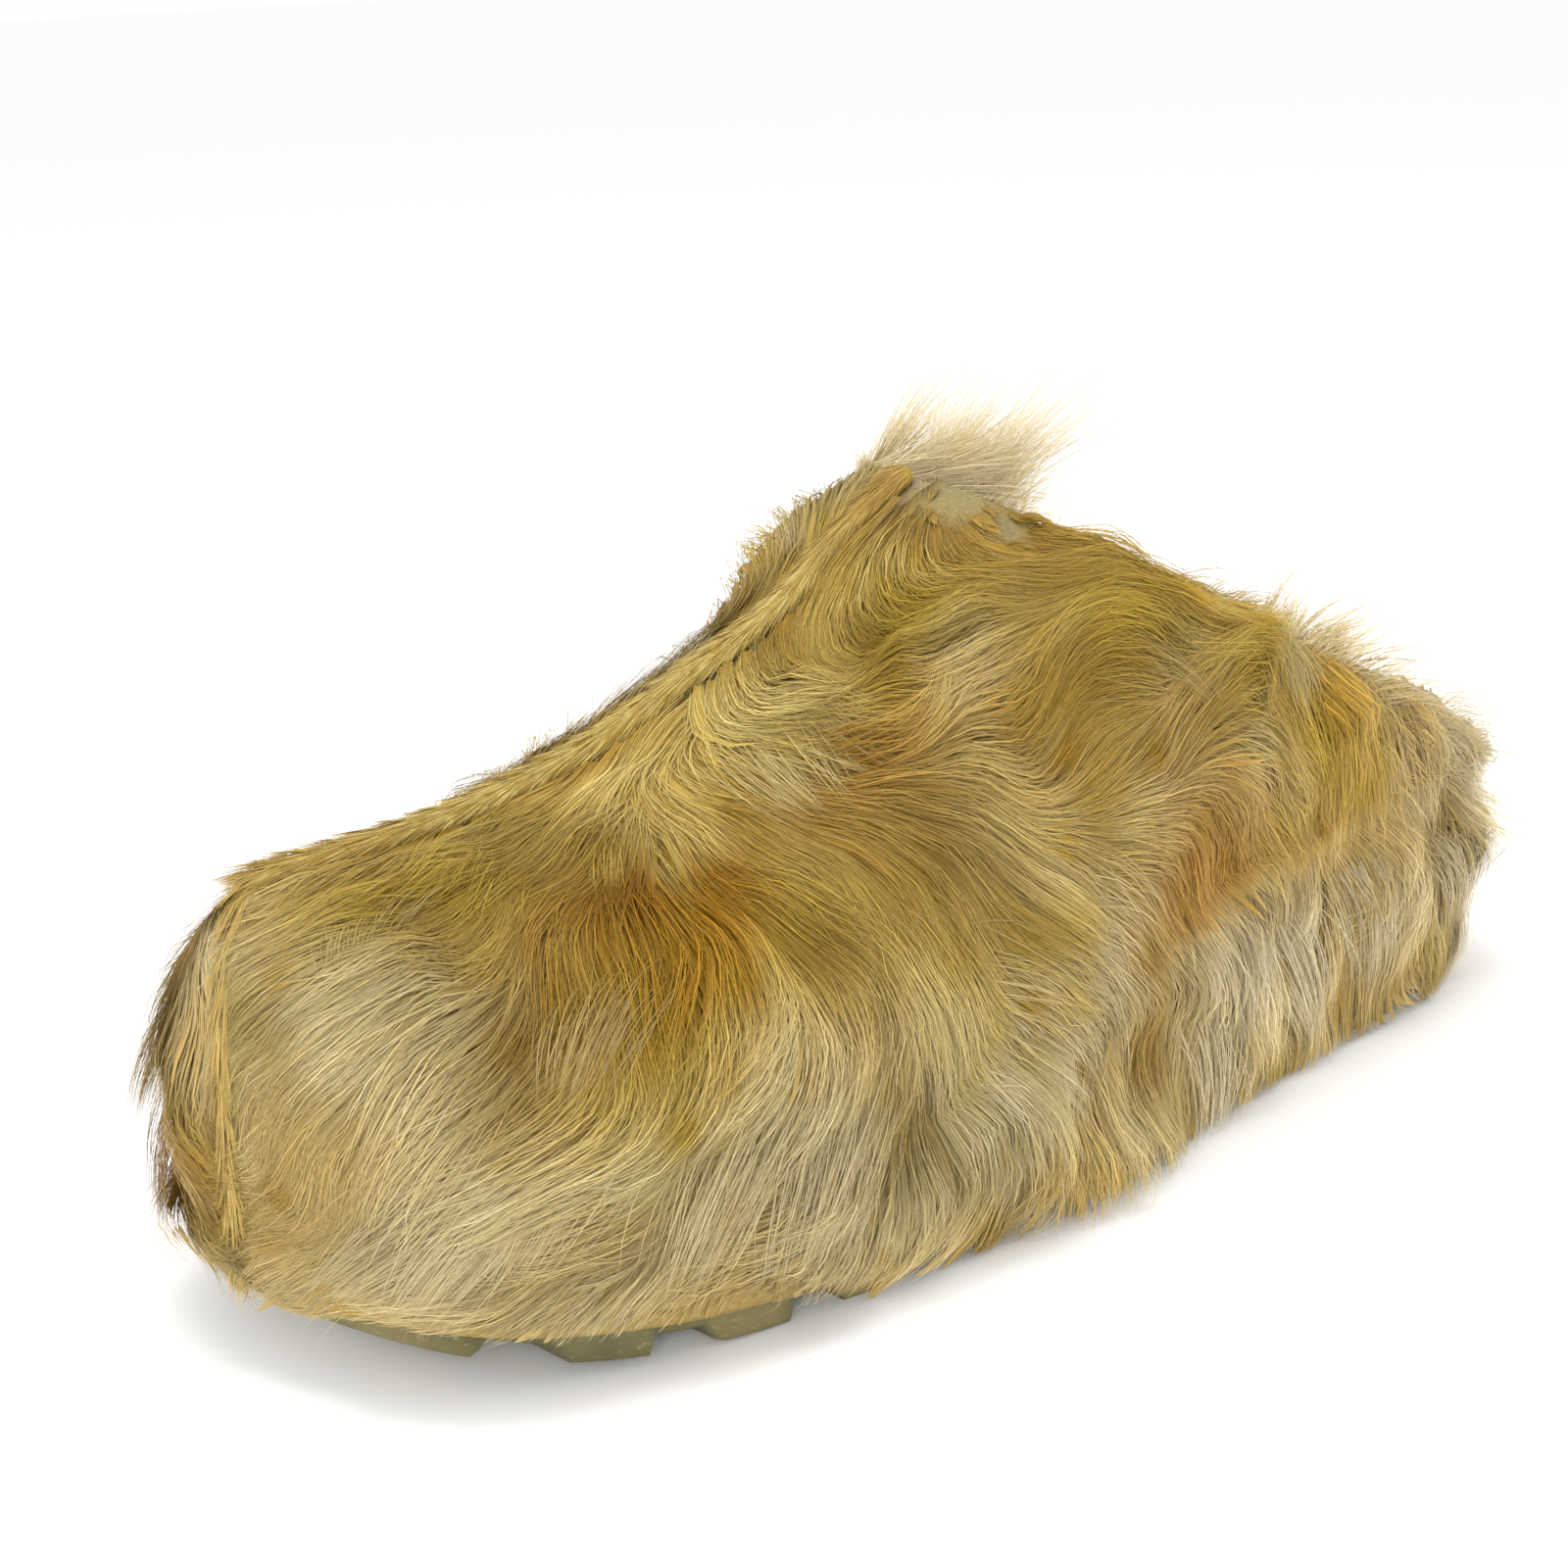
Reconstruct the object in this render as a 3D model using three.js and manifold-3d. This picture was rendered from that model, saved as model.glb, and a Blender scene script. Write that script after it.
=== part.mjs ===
// Fur mule for the left foot: a hair-on hide vamp over a wrapped platform on a lugged rubber sole.
// Millimetres. +X points to the toe, +Y to the outer (lateral) side, +Z up.
// The origin is the middle of the heel's flat spot, on the floor.
import * as THREE from "three";
import { mergeVertices } from "three/addons/utils/BufferGeometryUtils.js";
import Module from "manifold-3d";

const wasm = await Module();
wasm.setup();

// Driving sizes of the sole and the platform.
const SOLE_LENGTH = 268;
const BALL_WIDTH = 98;
const HEEL_WIDTH = 70;
const TOE_SPRING = 8;
const WAIST_RISE = 2.5;
const OUTSOLE_THICKNESS = 13;
const TOE_THINNING = 4;
const LUG_PITCH = 24;
const LUG_GROOVE = 9;
const LUG_DEPTH = 2.5;
const EDGE_SCALLOP = 1.6;
const EDGE_BEVEL = 1.2;
const TOE_ROUNDING = 5;
const FOOTBED_TOE_THICKNESS = 6;
const FOOTBED_HEEL_THICKNESS = 36;
const INSOLE_THICKNESS = 3;
const INSOLE_CUP = 2;
const INSOLE_CUP_WIDTH = 9;

// Driving sizes of the upper.
const HIDE_WALL = 2.4;
const TOE_HEIGHT = 73;
const THROAT_HEIGHT = 114;
const HEEL_RIM_HEIGHT = 56;
const RIDGE_OFFSET = -4;
const SIDE_BULGE = 0.035;

// Driving sizes of the fur and of the raised centre seam.
const FUR_EDGE_DEPTH = 3.6;
const FUR_DEPTH = 7.5;
const FUR_OVER_EDGE = 3;
const BAND_FUR_DEPTH = 6.5;
const BAND_HEM_HEIGHT = 6;
const BAND_HEM_DEPTH = 2.6;
const SEAM_WIDTH = 7;
const SEAM_CREST_WIDTH = 3.6;
const SEAM_HEIGHT = 4.2;
const SEAM_CREST_HEIGHT = 5.4;
const LOCK_LENGTH = 34;
const LOCK_WIDTH = 15;
const LOCK_THICKNESS = 5;
const HEEL_TUFT_LENGTH = 32;
const TOPLINE_TUFT_LENGTH = 30;

// Clearance between two pieces that meet.
const GAP = 0.3;

// Places along the foot, as shares of the sole length from the heel.
const HEEL_REST_AT = 0.16;
const BALL_REST_AT = 0.7;
const SPRING_FROM = 0.735;
const SPINE_HEEL_AT = 0.05;
const SPINE_TOE_AT = 0.962;
const THROAT_AT = 0.455;

// Sole outline: reach to the outer and the inner side, as shares of the local half width.
const OUTLINE = [
  { at: 0, outer: 0, inner: 0 },
  { at: 0.018, outer: 0.54, inner: 0.5 },
  { at: 0.056, outer: 0.83, inner: 0.79 },
  { at: 0.12, outer: 1.0, inner: 0.94 },
  { at: 0.21, outer: 1.05, inner: 0.94 },
  { at: 0.32, outer: 1.03, inner: 0.83 },
  { at: 0.43, outer: 0.99, inner: 0.79 },
  { at: 0.545, outer: 0.99, inner: 0.84 },
  { at: 0.64, outer: 1.05, inner: 0.92 },
  { at: 0.73, outer: 1.06, inner: 0.94 },
  { at: 0.825, outer: 1.0, inner: 0.88 },
  { at: 0.9, outer: 0.87, inner: 0.76 },
  { at: 0.952, outer: 0.67, inner: 0.59 },
  { at: 0.985, outer: 0.39, inner: 0.36 },
  { at: 1, outer: 0, inner: 0 },
];

// Thickness of the footbed between its toe value (0) and its heel value (1).
const FOOTBED = [
  { at: 0, rise: 1 },
  { at: 0.22, rise: 0.97 },
  { at: 0.35, rise: 0.85 },
  { at: 0.47, rise: 0.66 },
  { at: 0.57, rise: 0.46 },
  { at: 0.667, rise: 0.3 },
  { at: 0.79, rise: 0.16 },
  { at: 0.9, rise: 0.03 },
  { at: 1, rise: 0 },
];

// Ridge of the vamp between toe height (0) and throat height (1); how square its section is, and how
// far the section leans from a round arch (0) towards a tent (1).
const RIDGE = [
  { at: 0, rise: 1, fullness: 3.2, tent: 0 },
  { at: 0.35, rise: 1.04, fullness: 3.2, tent: 0 },
  { at: 0.455, rise: 1, fullness: 2.9, tent: 0.04 },
  { at: 0.51, rise: 0.82, fullness: 2.6, tent: 0.12 },
  { at: 0.57, rise: 0.56, fullness: 2.4, tent: 0.22 },
  { at: 0.65, rise: 0.35, fullness: 2.4, tent: 0.27 },
  { at: 0.725, rise: 0.17, fullness: 2.4, tent: 0.27 },
  { at: 0.83, rise: 0.04, fullness: 2.5, tent: 0.24 },
  { at: 0.962, rise: 0, fullness: 2.7, tent: 0.2 },
  { at: 1, rise: 0, fullness: 2.7, tent: 0.2 },
];

// Topline of the opening between the heel rim (0) and the throat (1), on the outer and the inner side.
const TOPLINE = [
  { at: -0.1, outer: 0, inner: 0 },
  { at: 0.03, outer: 0, inner: 0 },
  { at: 0.09, outer: 0.08, inner: 0.09 },
  { at: 0.15, outer: 0.21, inner: 0.24 },
  { at: 0.21, outer: 0.34, inner: 0.42 },
  { at: 0.29, outer: 0.52, inner: 0.64 },
  { at: 0.36, outer: 0.66, inner: 0.8 },
  { at: 0.42, outer: 0.8, inner: 0.9 },
  { at: 0.448, outer: 0.92, inner: 0.96 },
  { at: 0.455, outer: 1, inner: 1 },
];

// Swells and hollows of the coat: side +1 is the outer one, up runs from the seam (0) to the ridge (1).
const SWELLS = [
  { side: 1, at: 0.55, up: 0.55, along: 0.07, across: 0.2, depth: 3 },
  { side: 1, at: 0.66, up: 0.35, along: 0.06, across: 0.18, depth: -2.5 },
  { side: 1, at: 0.8, up: 0.4, along: 0.07, across: 0.22, depth: 2.2 },
  { side: 1, at: 0.91, up: 0.25, along: 0.05, across: 0.18, depth: 1.8 },
  { side: 1, at: 0.38, up: 0.25, along: 0.06, across: 0.18, depth: 2.2 },
  { side: 1, at: 0.26, up: 0.2, along: 0.05, across: 0.14, depth: -2 },
  { side: 1, at: 0.15, up: 0.2, along: 0.05, across: 0.14, depth: 3 },
  { side: -1, at: 0.45, up: 0.5, along: 0.06, across: 0.2, depth: 2.2 },
  { side: -1, at: 0.62, up: 0.35, along: 0.07, across: 0.2, depth: 2.4 },
  { side: -1, at: 0.78, up: 0.4, along: 0.06, across: 0.2, depth: -1.8 },
  { side: -1, at: 0.97, up: 0.24, along: 0.05, across: 0.13, depth: 4.5 },
  { side: -1, at: 0.18, up: 0.2, along: 0.06, across: 0.16, depth: 2.2 },
];

// Where the hair of the band flares out past the sole and hangs lower.
const FLARES = [
  { side: 1, at: 0.48, along: 0.13, depth: 7, hang: 3.5 },
  { side: 1, at: 0.2, along: 0.08, depth: 1.5, hang: 1 },
  { side: -1, at: 0.4, along: 0.12, depth: 4, hang: 2 },
];

// Locks of the vamp: root place, how far they run back along the foot and up or down the side.
const VAMP_LOCKS = [
  { side: 1, at: 0.95, up: 0.62, back: 0.03, rise: -0.3, size: 0.8 },
  { side: 1, at: 0.9, up: 0.36, back: -0.06, rise: -0.22, size: 1.05 },
  { side: 1, at: 0.87, up: 0.68, back: -0.05, rise: -0.22, size: 0.8 },
  { side: 1, at: 0.8, up: 0.34, back: -0.03, rise: -0.24, size: 1.1 },
  { side: 1, at: 0.76, up: 0.66, back: 0.09, rise: -0.14, size: 1 },
  { side: 1, at: 0.72, up: 0.3, back: -0.04, rise: -0.22, size: 1 },
  { side: 1, at: 0.67, up: 0.62, back: 0.1, rise: -0.12, size: 1.1 },
  { side: 1, at: 0.62, up: 0.36, back: -0.03, rise: -0.26, size: 1.1 },
  { side: 1, at: 0.57, up: 0.7, back: 0.1, rise: -0.2, size: 1.1 },
  { side: 1, at: 0.52, up: 0.32, back: 0.02, rise: -0.26, size: 1.1 },
  { side: 1, at: 0.47, up: 0.56, back: 0.06, rise: -0.26, size: 1.1 },
  { side: 1, at: 0.41, up: 0.26, back: 0.02, rise: -0.2, size: 1 },
  { side: 1, at: 0.32, up: 0.24, back: 0.03, rise: -0.2, size: 1 },
  { side: 1, at: 0.22, up: 0.18, back: 0.03, rise: -0.14, size: 0.9 },
  { side: 1, at: 0.14, up: 0.13, back: 0.05, rise: -0.08, size: 0.9 },
  { side: -1, at: 0.95, up: 0.45, back: 0.02, rise: -0.28, size: 0.9 },
  { side: -1, at: 0.88, up: 0.62, back: 0.06, rise: -0.2, size: 0.9 },
  { side: -1, at: 0.84, up: 0.32, back: 0.06, rise: -0.2, size: 1.1 },
  { side: -1, at: 0.76, up: 0.6, back: 0.1, rise: -0.14, size: 1 },
  { side: -1, at: 0.7, up: 0.34, back: 0.07, rise: -0.22, size: 1.1 },
  { side: -1, at: 0.62, up: 0.62, back: 0.1, rise: -0.14, size: 1.1 },
  { side: -1, at: 0.56, up: 0.3, back: 0.06, rise: -0.2, size: 1.1 },
  { side: -1, at: 0.48, up: 0.56, back: 0.08, rise: -0.22, size: 1.1 },
  { side: -1, at: 0.43, up: 0.28, back: 0.05, rise: -0.2, size: 1 },
  { side: -1, at: 0.32, up: 0.26, back: 0.05, rise: -0.18, size: 1 },
  { side: -1, at: 0.23, up: 0.18, back: 0.04, rise: -0.12, size: 0.9 },
  { side: -1, at: 0.14, up: 0.13, back: 0.05, rise: -0.08, size: 0.9 },
];

// Tufts along the inner topline behind the throat, standing up off the edge and blown to the heel.
const TOPLINE_TUFTS = [
  { at: 0.45, back: 0.08, lift: 3, size: 0.8 },
  { at: 0.405, back: 0.085, lift: 7, size: 0.95 },
  { at: 0.36, back: 0.09, lift: 10, size: 1 },
  { at: 0.31, back: 0.09, lift: 11, size: 0.95 },
];

// Long tufts round the heel: angle round the heel from straight back, towards the outer side.
const HEEL_TUFTS = [
  { turn: -62, high: 8, drop: 0.7, size: 0.85 },
  { turn: -25, high: 5, drop: 0.8, size: 0.95 },
  { turn: 8, high: 6, drop: 0.75, size: 1 },
  { turn: 34, high: 4, drop: 0.85, size: 1.1 },
  { turn: 62, high: 10, drop: 0.7, size: 1 },
];

// Colours, as seen in even light.
const MATERIALS = {
  rubber: { color: 0x8a8058, roughness: 0.75 },
  platform: { color: 0xb9a982, roughness: 0.85 },
  leather: { color: 0x7a5230, roughness: 0.6 },
  hide: { color: 0x8e7a50, roughness: 0.8 },
  fur: { color: 0xc8b17a, roughness: 0.9 },
  seam: { color: 0xb48c50, roughness: 0.9 },
};

const COLUMNS = 22;
const ROWS = 8;

// Smooth value of one table column at a place along the foot.
function tableValue(table, column, at) {
  const last = table.length - 1;
  const place = THREE.MathUtils.clamp(at, table[0].at, table[last].at);
  let i = 0;
  while (i < last - 1 && place > table[i + 1].at) i++;
  const slope = (k) => {
    if (k <= 0 || k >= last) return 0;
    const rise = table[k + 1][column] - table[k - 1][column];
    return rise / (table[k + 1].at - table[k - 1].at);
  };
  const span = table[i + 1].at - table[i].at;
  const t = (place - table[i].at) / span;
  const hold = 2 * t ** 3 - 3 * t ** 2 + 1;
  const leave = (t ** 3 - 2 * t ** 2 + t) * span * slope(i);
  const arrive = (t ** 3 - t ** 2) * span * slope(i + 1);
  return hold * table[i][column] + (1 - hold) * table[i + 1][column] + leave + arrive;
}

// The angle that makes a rounded end run evenly: 0 at the heel end, 1 at the toe end.
const turnOf = (at) => Math.acos(1 - 2 * THREE.MathUtils.clamp(at, 0, 1)) / Math.PI;
const shareOf = (turn) => (1 - Math.cos(Math.PI * turn)) / 2;
const xOf = (at) => SOLE_LENGTH * (at - HEEL_REST_AT);
const OUTLINE_BY_TURN = OUTLINE.map((row) => ({ ...row, at: turnOf(row.at) }));

function localHalfWidth(at) {
  const blend = THREE.MathUtils.smoothstep(at, 0.2, 0.56);
  return THREE.MathUtils.lerp(HEEL_WIDTH, BALL_WIDTH, blend) / 2;
}

// Reach of the outline from the foot's centre line at a turn, on one side.
function reach(turn, side) {
  const column = side > 0 ? "outer" : "inner";
  const ends = turn <= 0 || turn >= 1;
  if (ends) return 0;
  const rows = OUTLINE_BY_TURN;
  const edge = turn < rows[1].at ? turn / rows[1].at : (1 - turn) / (1 - rows[rows.length - 2].at);
  const firstRow = turn < rows[1].at ? rows[1] : rows[rows.length - 2];
  const share = edge < 1 ? edge * firstRow[column] : tableValue(rows, column, turn);
  return share * localHalfWidth(shareOf(turn));
}

// A point of the outline in plan, moved out by a distance along its own normal.
function outlinePoint(turn, side, out = 0) {
  const step = 1e-3;
  const place = (k) => {
    const within = k < 0 ? -k : k > 1 ? 2 - k : k;
    const over = k < 0 || k > 1 ? -1 : 1;
    return new THREE.Vector2(xOf(shareOf(within)), over * side * reach(within, side * over));
  };
  const point = place(turn);
  const along = place(turn + step).sub(place(turn - step)).normalize();
  const normal = new THREE.Vector2(-along.y, along.x).multiplyScalar(side);
  return point.addScaledVector(normal, out);
}

// Heights along the foot.
const spring = (at) => Math.max(0, (at - SPRING_FROM) / (1 - SPRING_FROM)) ** 2;
function underside(at) {
  const waist = THREE.MathUtils.smoothstep(at, 0.27, 0.36) - THREE.MathUtils.smoothstep(at, 0.46, 0.55);
  return TOE_SPRING * spring(at) + WAIST_RISE * waist;
}
const outsoleTop = (at) => OUTSOLE_THICKNESS + (TOE_SPRING - TOE_THINNING) * spring(at);
function footbedTop(at) {
  const rise = tableValue(FOOTBED, "rise", at);
  const thickness = THREE.MathUtils.lerp(FOOTBED_TOE_THICKNESS, FOOTBED_HEEL_THICKNESS, rise);
  return outsoleTop(at) + thickness;
}
const hemHeight = (at, side = 0) => BAND_HEM_HEIGHT + TOE_SPRING * spring(at) - flare(side, at, "hang");
function ridgePoint(at) {
  const place = THREE.MathUtils.clamp(at, SPINE_HEEL_AT, SPINE_TOE_AT);
  const rise = tableValue(RIDGE, "rise", place);
  const height = THREE.MathUtils.lerp(TOE_HEIGHT, THROAT_HEIGHT, rise);
  return new THREE.Vector3(xOf(place), RIDGE_OFFSET, height);
}
function toplineHeight(at, side) {
  const rise = tableValue(TOPLINE, side > 0 ? "outer" : "inner", at);
  return THREE.MathUtils.lerp(HEEL_RIM_HEIGHT, THROAT_HEIGHT, rise);
}

// The outside of the hide: turn runs along the foot, up from the footbed (0) to the ridge (1).
function hidePoint(turn, side, up) {
  const at = shareOf(turn);
  const base = outlinePoint(turn, side);
  const ridge = ridgePoint(at);
  const power = 2 / tableValue(RIDGE, "fullness", at);
  const tent = tableValue(RIDGE, "tent", at);
  const angle = (up * Math.PI) / 2;
  const out = up >= 1 ? 0 : Math.cos(angle) ** power;
  const lift = THREE.MathUtils.lerp(Math.sin(angle) ** power, 1 - out, tent);
  const swell = out * (1 + SIDE_BULGE * Math.sin(Math.PI * lift));
  const low = footbedTop(at) + GAP;
  return new THREE.Vector3(
    ridge.x + (base.x - ridge.x) * swell,
    ridge.y + (base.y - ridge.y) * swell,
    low + (ridge.z - low) * lift,
  );
}

// The way out of the hide at a place on it.
function hideNormal(turn, side, up) {
  const at = shareOf(turn);
  if (up >= 1) {
    if (at >= SPINE_TOE_AT) return new THREE.Vector3(0.66, 0, 0.75).normalize();
    if (at <= SPINE_HEEL_AT) return new THREE.Vector3(-0.66, 0, 0.75).normalize();
    const along = ridgePoint(at + 0.01).sub(ridgePoint(at - 0.01));
    return new THREE.Vector3(-along.z, 0, along.x).normalize();
  }
  const end = turn <= 0 || turn >= 1;
  if (end) {
    const upward = hidePoint(turn, 1, up + 0.01).sub(hidePoint(turn, 1, Math.max(0, up - 0.01)));
    const facing = turn <= 0 ? -1 : 1;
    return new THREE.Vector3(upward.z * facing, 0, -upward.x * facing).normalize();
  }
  const step = 0.004;
  const before = hidePoint(Math.max(0, turn - step), side, up);
  const after = hidePoint(Math.min(1, turn + step), side, up);
  const low = hidePoint(turn, side, Math.max(0, up - 0.01));
  const high = hidePoint(turn, side, Math.min(0.99, up + 0.01));
  return high.sub(low).cross(after.sub(before)).multiplyScalar(side).normalize();
}

// Depth of the coat over the hide: shallow at the seam and the topline, swelling between.
function coatDepth(turn, side, up) {
  const at = shareOf(turn);
  const body = Math.sin(Math.PI * THREE.MathUtils.clamp(up * 0.95 + 0.05, 0, 1)) ** 0.7;
  const toe = 1 - 0.45 * THREE.MathUtils.smoothstep(at, 0.93, 1);
  const crest = 1 - 0.4 * THREE.MathUtils.smoothstep(up, 0.6, 0.95);
  let depth = THREE.MathUtils.lerp(FUR_EDGE_DEPTH, FUR_DEPTH, body) * toe * crest;
  for (const swell of SWELLS) {
    if (swell.side !== side) continue;
    const along = (at - swell.at) / swell.along;
    const across = (up - swell.up) / swell.across;
    depth += swell.depth * Math.exp(-(along ** 2) - across ** 2);
  }
  return Math.max(depth, FUR_EDGE_DEPTH * 0.5);
}

// How strongly a flare of the band works at a place, from 0 to 1, times one of its columns.
function flare(side, at, column) {
  let sum = 0;
  for (const row of FLARES) {
    if (row.side === side) sum += row[column] * Math.exp(-(((at - row.at) / row.along) ** 2));
  }
  return sum;
}

function bandDepth(turn, side, down) {
  const at = shareOf(turn);
  const toe = 1 - 0.4 * THREE.MathUtils.smoothstep(at, 0.93, 1);
  const body = Math.sin(Math.PI * THREE.MathUtils.clamp(0.12 + down * 0.75, 0, 1)) ** 0.7;
  const edge = THREE.MathUtils.lerp(FUR_EDGE_DEPTH, BAND_HEM_DEPTH, down);
  const ripple = 0.9 * Math.sin(at * 41 + side) * body;
  const spread = flare(side, at, "depth") * down;
  return (THREE.MathUtils.lerp(edge, BAND_FUR_DEPTH, body) + ripple) * toe + spread;
}

// Loops of points round the foot: heel, outer side, toe, inner side.
function loopOf(turns, pointAt) {
  const outer = turns.map((turn) => pointAt(turn, 1));
  const inner = turns.slice(1, -1).map((turn) => pointAt(turn, -1));
  return outer.concat(inner.reverse());
}

// A closed body from loops stacked from the bottom up, with both ends capped across the foot.
function bodyOfLoops(loops) {
  const size = loops[0].length;
  const half = size / 2;
  const positions = [];
  const corners = [];
  for (const loop of loops) for (const p of loop) positions.push(p.x, p.y, p.z);
  const face = (a, b, c) => corners.push(a, b, c);
  for (let level = 0; level < loops.length - 1; level++) {
    for (let i = 0; i < size; i++) {
      const next = (i + 1) % size;
      const low = level * size;
      const high = low + size;
      face(low + i, high + next, low + next);
      face(low + i, high + i, high + next);
    }
  }
  const cap = (start, flip) => {
    for (let i = 0; i < half; i++) {
      const a = start + i;
      const b = start + i + 1;
      const c = start + ((size - i - 1) % size);
      const d = start + ((size - i) % size);
      const pair = flip ? [[a, c, b], [a, d, c]] : [[a, b, c], [a, c, d]];
      for (const [p, q, r] of pair) face(p, q, r);
    }
  };
  cap(0, false);
  cap((loops.length - 1) * size, true);
  return solidOf(positions, corners);
}

// A manifold solid from positions and corners, with repeated points joined and empty faces dropped.
function solidOf(positions, corners) {
  const geometry = new THREE.BufferGeometry();
  geometry.setAttribute("position", new THREE.Float32BufferAttribute(positions, 3));
  geometry.setIndex(corners);
  const merged = mergeVertices(geometry, 1e-3);
  const index = merged.index.array;
  const kept = [];
  for (let i = 0; i < index.length; i += 3) {
    const [a, b, c] = [index[i], index[i + 1], index[i + 2]];
    if (a !== b && b !== c && c !== a) kept.push(a, b, c);
  }
  const mesh = new wasm.Mesh({
    numProp: 3,
    vertProperties: new Float32Array(merged.attributes.position.array),
    triVerts: new Uint32Array(kept),
  });
  return new wasm.Manifold(mesh);
}

// An upright prism over a plan polygon given as [x, y] points, anticlockwise seen from above.
function uprightPrism(points, low, high) {
  const shape = new THREE.Shape(points.map(([x, y]) => new THREE.Vector2(x, y)));
  const geometry = new THREE.ExtrudeGeometry(shape, { depth: high - low, bevelEnabled: false });
  geometry.translate(0, 0, low);
  return solidOfGeometry(geometry);
}

// A prism across the foot over a side profile given as [x, z] points.
function crossPrism(points, halfWidth) {
  const shape = new THREE.Shape(points.map(([x, z]) => new THREE.Vector2(x, z)));
  const geometry = new THREE.ExtrudeGeometry(shape, { depth: 2 * halfWidth, bevelEnabled: false });
  geometry.rotateX(Math.PI / 2);
  geometry.translate(0, halfWidth, 0);
  return solidOfGeometry(geometry);
}

function solidOfGeometry(geometry) {
  geometry.deleteAttribute("normal");
  geometry.deleteAttribute("uv");
  const merged = mergeVertices(geometry, 1e-3);
  return solidOf(Array.from(merged.attributes.position.array), Array.from(merged.index.array));
}

const evenTurns = Array.from({ length: COLUMNS + 1 }, (_, i) => i / COLUMNS);

// The form over the last: rows from below the seam to the ridge, moved out by offset(turn, side, up).
function formOverLast(offset, foot) {
  const loops = [];
  const base = (turn, side) => outlinePoint(turn, side, offset(turn, side, 0));
  for (const level of foot) {
    loops.push(
      loopOf(evenTurns, (turn, side) => {
        const p = base(turn, side);
        return new THREE.Vector3(p.x, p.y, level(shareOf(turn)));
      }),
    );
  }
  for (let row = 1; row <= ROWS; row++) {
    const up = row / ROWS;
    loops.push(
      loopOf(evenTurns, (turn, side) => {
        const out = offset(turn, side, up);
        return hidePoint(turn, side, up).addScaledVector(hideNormal(turn, side, up), out);
      }),
    );
  }
  return bodyOfLoops(loops);
}

const seamLine = (at) => footbedTop(at) + GAP;
const wellBelow = () => -20;

// The opening of the mule as a block to cut away: everything above the topline behind the throat.
function openingBlock(raise) {
  const samples = Array.from({ length: 21 }, (_, i) => -0.1 + (i / 20) * (THROAT_AT + 0.1));
  const high = THROAT_HEIGHT * 2;
  const halves = [1, -1].map((side) => {
    const edge = samples.map((at) => [xOf(at), toplineHeight(at, side) + raise]);
    const block = crossPrism([...edge, [xOf(THROAT_AT), high], [xOf(-0.1), high]], BALL_WIDTH * 2);
    return block.intersect(sideBlock(side));
  });
  return unite(halves);
}

// The strip of the centre seam in plan, widened by a clearance.
function seamStrip(width) {
  const half = width / 2;
  const rear = xOf(THROAT_AT - 0.05);
  const bend = xOf(SPINE_TOE_AT - 0.02);
  const front = xOf(1.2);
  const right = [[rear, RIDGE_OFFSET - half], [bend, RIDGE_OFFSET - half], [front, RIDGE_OFFSET - half]];
  const left = [[front, RIDGE_OFFSET + half], [bend, RIDGE_OFFSET + half], [rear, RIDGE_OFFSET + half]];
  return uprightPrism([...right, ...left], -40, THROAT_HEIGHT * 2);
}

// One side of the foot in plan, up to the centre line of the ridge.
function sideBlock(side) {
  const far = BALL_WIDTH * 2;
  const heel = xOf(-0.5);
  const toe = xOf(1.5);
  const near = RIDGE_OFFSET;
  const box = side > 0
    ? [[heel, near], [toe, near], [toe, far], [heel, far]]
    : [[heel, -far], [toe, -far], [toe, near], [heel, near]];
  return uprightPrism(box, -40, THROAT_HEIGHT * 2);
}

// A lock of hair: a flat tapering body along a path, wide at its root and pointed at its tip.
function lockAlong(path, width, thickness) {
  const sides = 5;
  const positions = [];
  const corners = [];
  const steps = path.length - 1;
  for (let k = 0; k < steps; k++) {
    const { point, normal } = path[k];
    const along = path[k + 1].point.clone().sub(path[Math.max(0, k - 1)].point).normalize();
    const across = along.clone().cross(normal).normalize();
    const out = across.clone().cross(along).normalize();
    const share = k / steps;
    const taper = Math.sin(Math.PI * (0.2 + 0.8 * share));
    for (let i = 0; i < sides; i++) {
      const angle = (i / sides) * 2 * Math.PI;
      const p = point.clone();
      p.addScaledVector(across, (Math.cos(angle) * width * taper) / 2);
      p.addScaledVector(out, (Math.sin(angle) * thickness * taper) / 2);
      positions.push(p.x, p.y, p.z);
    }
  }
  const tip = path[steps].point;
  const root = path[0].point;
  positions.push(tip.x, tip.y, tip.z, root.x, root.y, root.z);
  const tipIndex = steps * sides;
  for (let i = 0; i < sides; i++) {
    const next = (i + 1) % sides;
    for (let k = 0; k < steps - 1; k++) {
      const low = k * sides;
      const high = low + sides;
      corners.push(low + i, high + i, high + next, low + i, high + next, low + next);
    }
    const lastRing = (steps - 1) * sides;
    corners.push(lastRing + i, tipIndex, lastRing + next, i, next, tipIndex + 1);
  }
  const solid = solidOf(positions, corners);
  if (solid.volume() > 0) return solid;
  const flipped = [];
  for (let i = 0; i < corners.length; i += 3) flipped.push(corners[i], corners[i + 2], corners[i + 1]);
  return solidOf(positions, flipped);
}

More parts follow.
